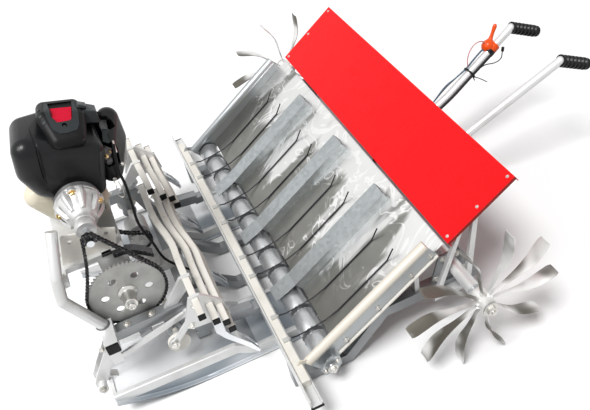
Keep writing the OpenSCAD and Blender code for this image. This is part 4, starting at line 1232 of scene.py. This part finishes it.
# Rows of: place, direction, width over the flats, length of the stud
SCREWS = {
    "machine": both([
        ((-235, 625, 65), NEAR, 11, 2), ((-219, 592, 158), NEAR, 8, 1), ((-258, 459.4, 126.2), NEAR, 9, 2),
        ((-268, 415, 172), NEAR, 9, 2), ((-370.5, -78, 172), NEAR, 8, 1), ((-370.5, -108, 172), NEAR, 8, 1),
        ((-370.5, -60, 124), NEAR, 8, 1), ((-370.5, -124, 124), NEAR, 8, 1), ((-397, -50, 112), NEAR, 8, 1),
        ((-397, -118, 112), NEAR, 8, 1), ((-154, 520, 228), NEAR, 7, 1), ((-154, 488, 264), NEAR, 7, 1),
        ((-154, 488, 228), NEAR, 7, 1), ((-154, 520, 264), NEAR, 7, 1), ((-205, 480, 182.5), UP, 9, 1),
        ((-205, 530, 182.5), UP, 9, 1), ((-172, 599, 328), UP, 9, 2), ((-112, 486, 328), UP, 9, 2),
        ((-112, 586, 328), UP, 9, 2), ((-268, 400, 220), NEAR, 7, 1), ((-268, 352, 164), NEAR, 7, 1)]) + [
        (on_slope(x, s, 2), UP_SLOPE, 3.6, 0) for x in (-388, 388) for s in (320, 397, 474)] + [
        ((106, y + 17.6, z), (0, 1, 0), 6, 1) for y, z in RODS],
    "axle": both([((-509.5, *AXLE), NEAR, 17, 3), ((-WHEEL_X, AXLE[0], AXLE[1] + 16), UP, 7, 2)]),
    "feed_shaft": [((-414.5, *FEED_SHAFT), NEAR, 12, 2), ((398.5, *FEED_SHAFT), (1, 0, 0), 12, 2)],
    "tray": [((-408, 211.6, 50.6), NEAR, 6, 1), ((-408, 184.4, 65.4), NEAR, 6, 1)] + [
        (on_slope(side * 394, s, 4), (-side, 0, 0), 6, 1) for side in (-1, 1) for s in (40, 130, 220, 272)],
}
for body, rows in SCREWS.items():
    shape = Shape()
    for place, axis, size, stud in rows:
        screw(shape, place, axis, size, stud)
    shape.piece(f"{body}_screws", body, ZINC_BOLT, "bright_steel", sharp=30)

# %% [markdown]
# ## Welds
# A weld bead is a row of overlapping drops. It could be a row of balls, but a closed tube whose
# radius goes up and down looks the same with a tenth of the faces. It follows the outline of
# what was welded on, which is oval at the legs and square at the rear tube.

# %% Welds
# Rows of: middle, half width across, half width along, points round it, radius of the bead
OVAL_WELDS = [((207, 571, 208.2), 12.2, 12.8, 30, 1.6), ((150, 504, 182.9), 5, 13.4, 24, 1.2)]
SQUARE_WELD, SQUARE_HALF, SQUARE_R = (355.4, -138, 105), 12.7, 1.6


def weld_bead(shape, ring, size):
    """A weld along a closed line of points."""
    shape.tube(ring, [size * (0.8 + 0.35 * (i % 2)) for i in range(len(ring))], 6, loop=True)


welds = Shape()
for side in (-1, 1):
    for (x, y, z), across, along, points, size in OVAL_WELDS:
        weld_bead(welds, [(side * (x + across * u), y + along * v, z) for u, v in circle(1, points)], size)
    x, y, z = SQUARE_WELD
    weld_bead(welds, [(side * x, y + u, z + v) for u, v in rounded_square(SQUARE_HALF, 1, 6)], SQUARE_R)
welds.piece("weld_beads", "machine", DARK_CAST, "frame_paint")

# %% [markdown]
# ## Bearings, hub and chain tensioner
# The counter shaft runs in two flange bearings, and the chain wheel has a plated hub with a
# collar before it. A small bar with a rubbing shoe keeps the chain of the drive tight. All are
# lathe or plate forms, so their profiles are written down as a turner would have them.

# %% Bearings, hub and tensioner
BEARING_X, HUB_X, SHOE_X = 154, -190, -150
BEARING = [(8.4, 0), (27, 0), (27, 3.4), (25.6, 4.4), (17, 5), (15.5, 11), (13.5, 12.4), (8.4, 12.4)]
HUB = [(8.2, 0), (19, 0), (19, 2.2), (16, 4), (13.2, 6), (13.2, 33), (12.2, 34), (8.2, 34)]
COLLAR = [(2.6, 34), (8, 34), (8, 41.4), (7, 42.4), (3.4, 42.4), (2.6, 40.4)]
SHOE = [(500, 318), (500, 328), (480, 327), (462, 320), (446, 308), (430, 290), (433, 282), (449, 297),
    (464, 309), (481, 317)]
SHOE_BAR = [(500, 322), (520, 322), (520, 328), (500, 328)]

bearings = Shape()
for side in (-1, 1):
    bearings.at((side * BEARING_X, *COUNTER_SHAFT), (side, 0, 0)).lathe(BEARING, 40)
bearings.piece("shaft_bearings", "machine", BARE_CAST, "engine_metal", edge=0.5)

hub = Shape().at((HUB_X, *COUNTER_SHAFT), (-1, 0, 0)).lathe(HUB, 40).lathe(COLLAR, 28)
hub.piece("sprocket_hub", "machine", ZINC_BOLT, "sprocket_grey", edge=0.4)

tensioner = Shape().from_side(SHOE_X).plate(SHOE, -16, 3).plate(SHOE_BAR, -6, 3)
tensioner.piece("chain_tensioner", "machine", DARK_STEEL, "chain_steel", edge=0.8)

# %% [markdown]
# ## Grips
# The grips are soft rubber with six finger ridges and a collar. The ridges are rings of the
# lathe profile, so one profile makes the whole grip, and both handles have the same one.

# %% Grips
DROOP = math.radians(27)
GRIP_DIR = Vector((0, -math.cos(DROOP), -math.sin(DROOP)))
GRIP_L, GRIP_R, RIDGE_PITCH = 86, 14.5, 12
GRIP_END = Vector((92, GRIP_R * math.sin(DROOP) - 638, 293 - GRIP_L * math.sin(DROOP)))
GRIP_START = GRIP_END - GRIP_L * GRIP_DIR

grip_profile = [(10.2, 0), (GRIP_R, 0), (GRIP_R, 5), (12.4, 7)]
for k in range(6):
    grip_profile += [(r, h + RIDGE_PITCH * k) for r, h in ((11, 8), (GRIP_R, 11), (GRIP_R, 14.6), (11, 17.8))]
grip_profile += [(12.8, 81), (13.6, 82.5), (13, 85.4), (9, GRIP_L), (9, 83)]
for name, side in (("left", -1), ("right", 1)):
    grip = Shape().at((side * GRIP_START.x, *GRIP_START.yz), GRIP_DIR).lathe(grip_profile, 32)
    grip.piece(f"ribbed_grip_{name}", "machine", GRIP, "black_rubber", (f"grip_{name}",), sharp=30)

# %% [markdown]
# ## Thumb lever and ties
# The throttle sits on the far handle: an orange clamp ring with a thumb lever like a bulb on a
# neck. Black ties hold the cable to the tube. Everything here is placed along the upper part
# of the handle's tube, from its bend to the grip.

# %% Thumb lever and ties
BEND_AT = Vector((68, -362, 187))
ALONG = (GRIP_START - BEND_AT).normalized()
LEVER = BEND_AT + 150 * ALONG
CLAMP = [(10.3, 0), (12.4, 0), (13.2, 1.2), (13.2, 16), (12.4, 17.2), (10.3, 17.2)]
BULB = [(6, -15), (11.4, -13), (15, -8), (16.6, -1), (15.6, 5), (12.4, 10.4), (8.4, 14), (5.6, 18),
    (4.4, 26), (4.2, 34), (4.9, 42), (5.2, 48), (4.2, 52.4), (2, 54.4)]
TIES = [BEND_AT + 76 * ALONG, Vector((64, -276, 145.8))]

lever = Shape().at(LEVER, ALONG).lathe(CLAMP, 32)
lever.at(LEVER + 6 * ALONG + Vector((7, 7, 5)), (0.14, -0.46, 0.87)).lathe(BULB, 28)
lever.piece("thumb_lever", "machine", ORANGE, "throttle_orange", ("throttle_lever",), sharp=50)

ties = Shape().at(LEVER - 10 * ALONG, ALONG).lathe([(10.3, 0), (13.6, 0), (13.6, 9), (10.3, 9)], 28)
for place in TIES:
    ties.at(place, ALONG).lathe([(10.1, -1.6), (17, -1.6), (17, 1.6), (10.1, 1.6)], 24)
    ties.at(place).tube([(-12, -2, -6), (-16, -4, -15)], 1.3, 6)
ties.at(TIES[0]).tube(smooth_path([(-13, -3, -6), (-19, -14, -11), (-30, -30, -22)], 4), 1.1, 6)
ties.piece("cable_ties", "machine", BLACK, "black_plastic")

# %% [markdown]
# ## Cable and wires
# The throttle cable is one sheathed cable from the carburettor, down the front of the engine,
# along the frame and up the far handle. It is held at both ends, so its length is that of its
# route. A simulation could let it fall into place, but a cable that is tied down goes where its
# ties are, so its points are written down and a smooth tube is drawn through them.

# %% Throttle cable
def cord_piece(name, line, size, finish, slot, replaces=()):
    """A cord drawn as a tube along a line in millimetres, whose length is printed."""
    cord = Shape().tube(line, size / 2, 12).piece(name, "machine", finish, slot, replaces)
    metres = [p * MM for p in line]
    length = sum((q - p).length for p, q in zip(metres, metres[1:]))
    tuple(metres[0])
    size * MM
    print(f"{name} is {length * 1000:.0f} mm long")


CABLE_SIZE = 6
CABLE_ROUTE = [(-56, 421, 483), (-62, 427, 457), (-63, 431, 425), (-60, 430, 386), (-56, 434, 331),
    (-52, 437, 278), (-50, 426, 215), (-50, 416, 160), (-49, 385, 112), (-48.7, 340, 62),
    (-48.7, 300, 20), (-48.7, 240, 15.5), (-48.7, 165, 15.5), (-48.7, 120, 46), (-48.7, 70, 96),
    (-48.3, 30, 105.5), (-46.5, -16, 105), (-38, -64, 107.5), (-12, -104, 115), (28, -130, 123),
    (43, -160, 119), (44.8, -192, 107.5), (48, -247.4, 132.4), (51.3, -304.1, 159.4),
    (54.8, -363.3, 187.8), (61.3, -415.5, 216.4), (67.8, -467.8, 245.2), (71, -493.5, 259.3)]
cord_piece("control_cable", smooth_path(CABLE_ROUTE, 4), CABLE_SIZE, BLACK, "black_rubber",
    replaces=("throttle_cable",))

# %% [markdown]
# Four thin wires belong to the lever. Two come from under the panel along the upper side of the
# handle, one loops up to the lever, and one hangs below it and ends in a small plug. Their
# points are given along the tube, across it and above it, as one would lay them by hand.

# %% Wires on the handle
WIRE_SIZE, EARTH_SIZE = 2.6, 3.4
ACROSS = Vector((1, 0, 0))
ABOVE = ALONG.cross(ACROSS).normalized()


def by_tube(rows):
    """A smooth line from rows of: distance along the tube from its bend, across it, above it."""
    return smooth_path([BEND_AT + s * ALONG + u * ACROSS + v * ABOVE for s, u, v in rows], 5)


lead = by_tube([(100, -3, -12), (118, -5, -17), (138, -12, -29), (154, -22, -24), (166, -27, -5)])
plug = Shape().at(lead[-1], lead[-1] - lead[-2]).lathe([(1.4, -1), (3.6, 0), (3.6, 10), (2.6, 11)], 16)
lead_plug = plug.piece("lead_plug", "machine", BLACK, "black_plastic")
cord_piece("lever_lead", lead, WIRE_SIZE, DARK_STEEL, "wire_black")
WIRES = {
    "stop_wire": (BLUE_WIRE, WIRE_SIZE, [(-96, 3, 12), (-40, 6, 17), (10, 10, 20), (50, 6, 15), (78, 4, 13),
        (104, 5, 14), (128, 5, 15), (143, 4, 13)]),
    "earth_wire": (DARK_STEEL, EARTH_SIZE, [(-96, 9, 9), (-40, 14, 9), (10, 17, 9), (50, 12, 10), (78, 9, 10),
        (106, 10, 11), (130, 10, 12), (143, 8, 11)]),
    "red_wire": (PINK_WIRE, WIRE_SIZE, [(82, 2, 18), (92, 6, 30), (108, 7, 42), (128, 8, 45), (146, 8, 34),
        (151, 4, 15)])}
for name, (finish, size, rows) in WIRES.items():
    cord_piece(name, by_tube(rows), size, finish, "wire_black")
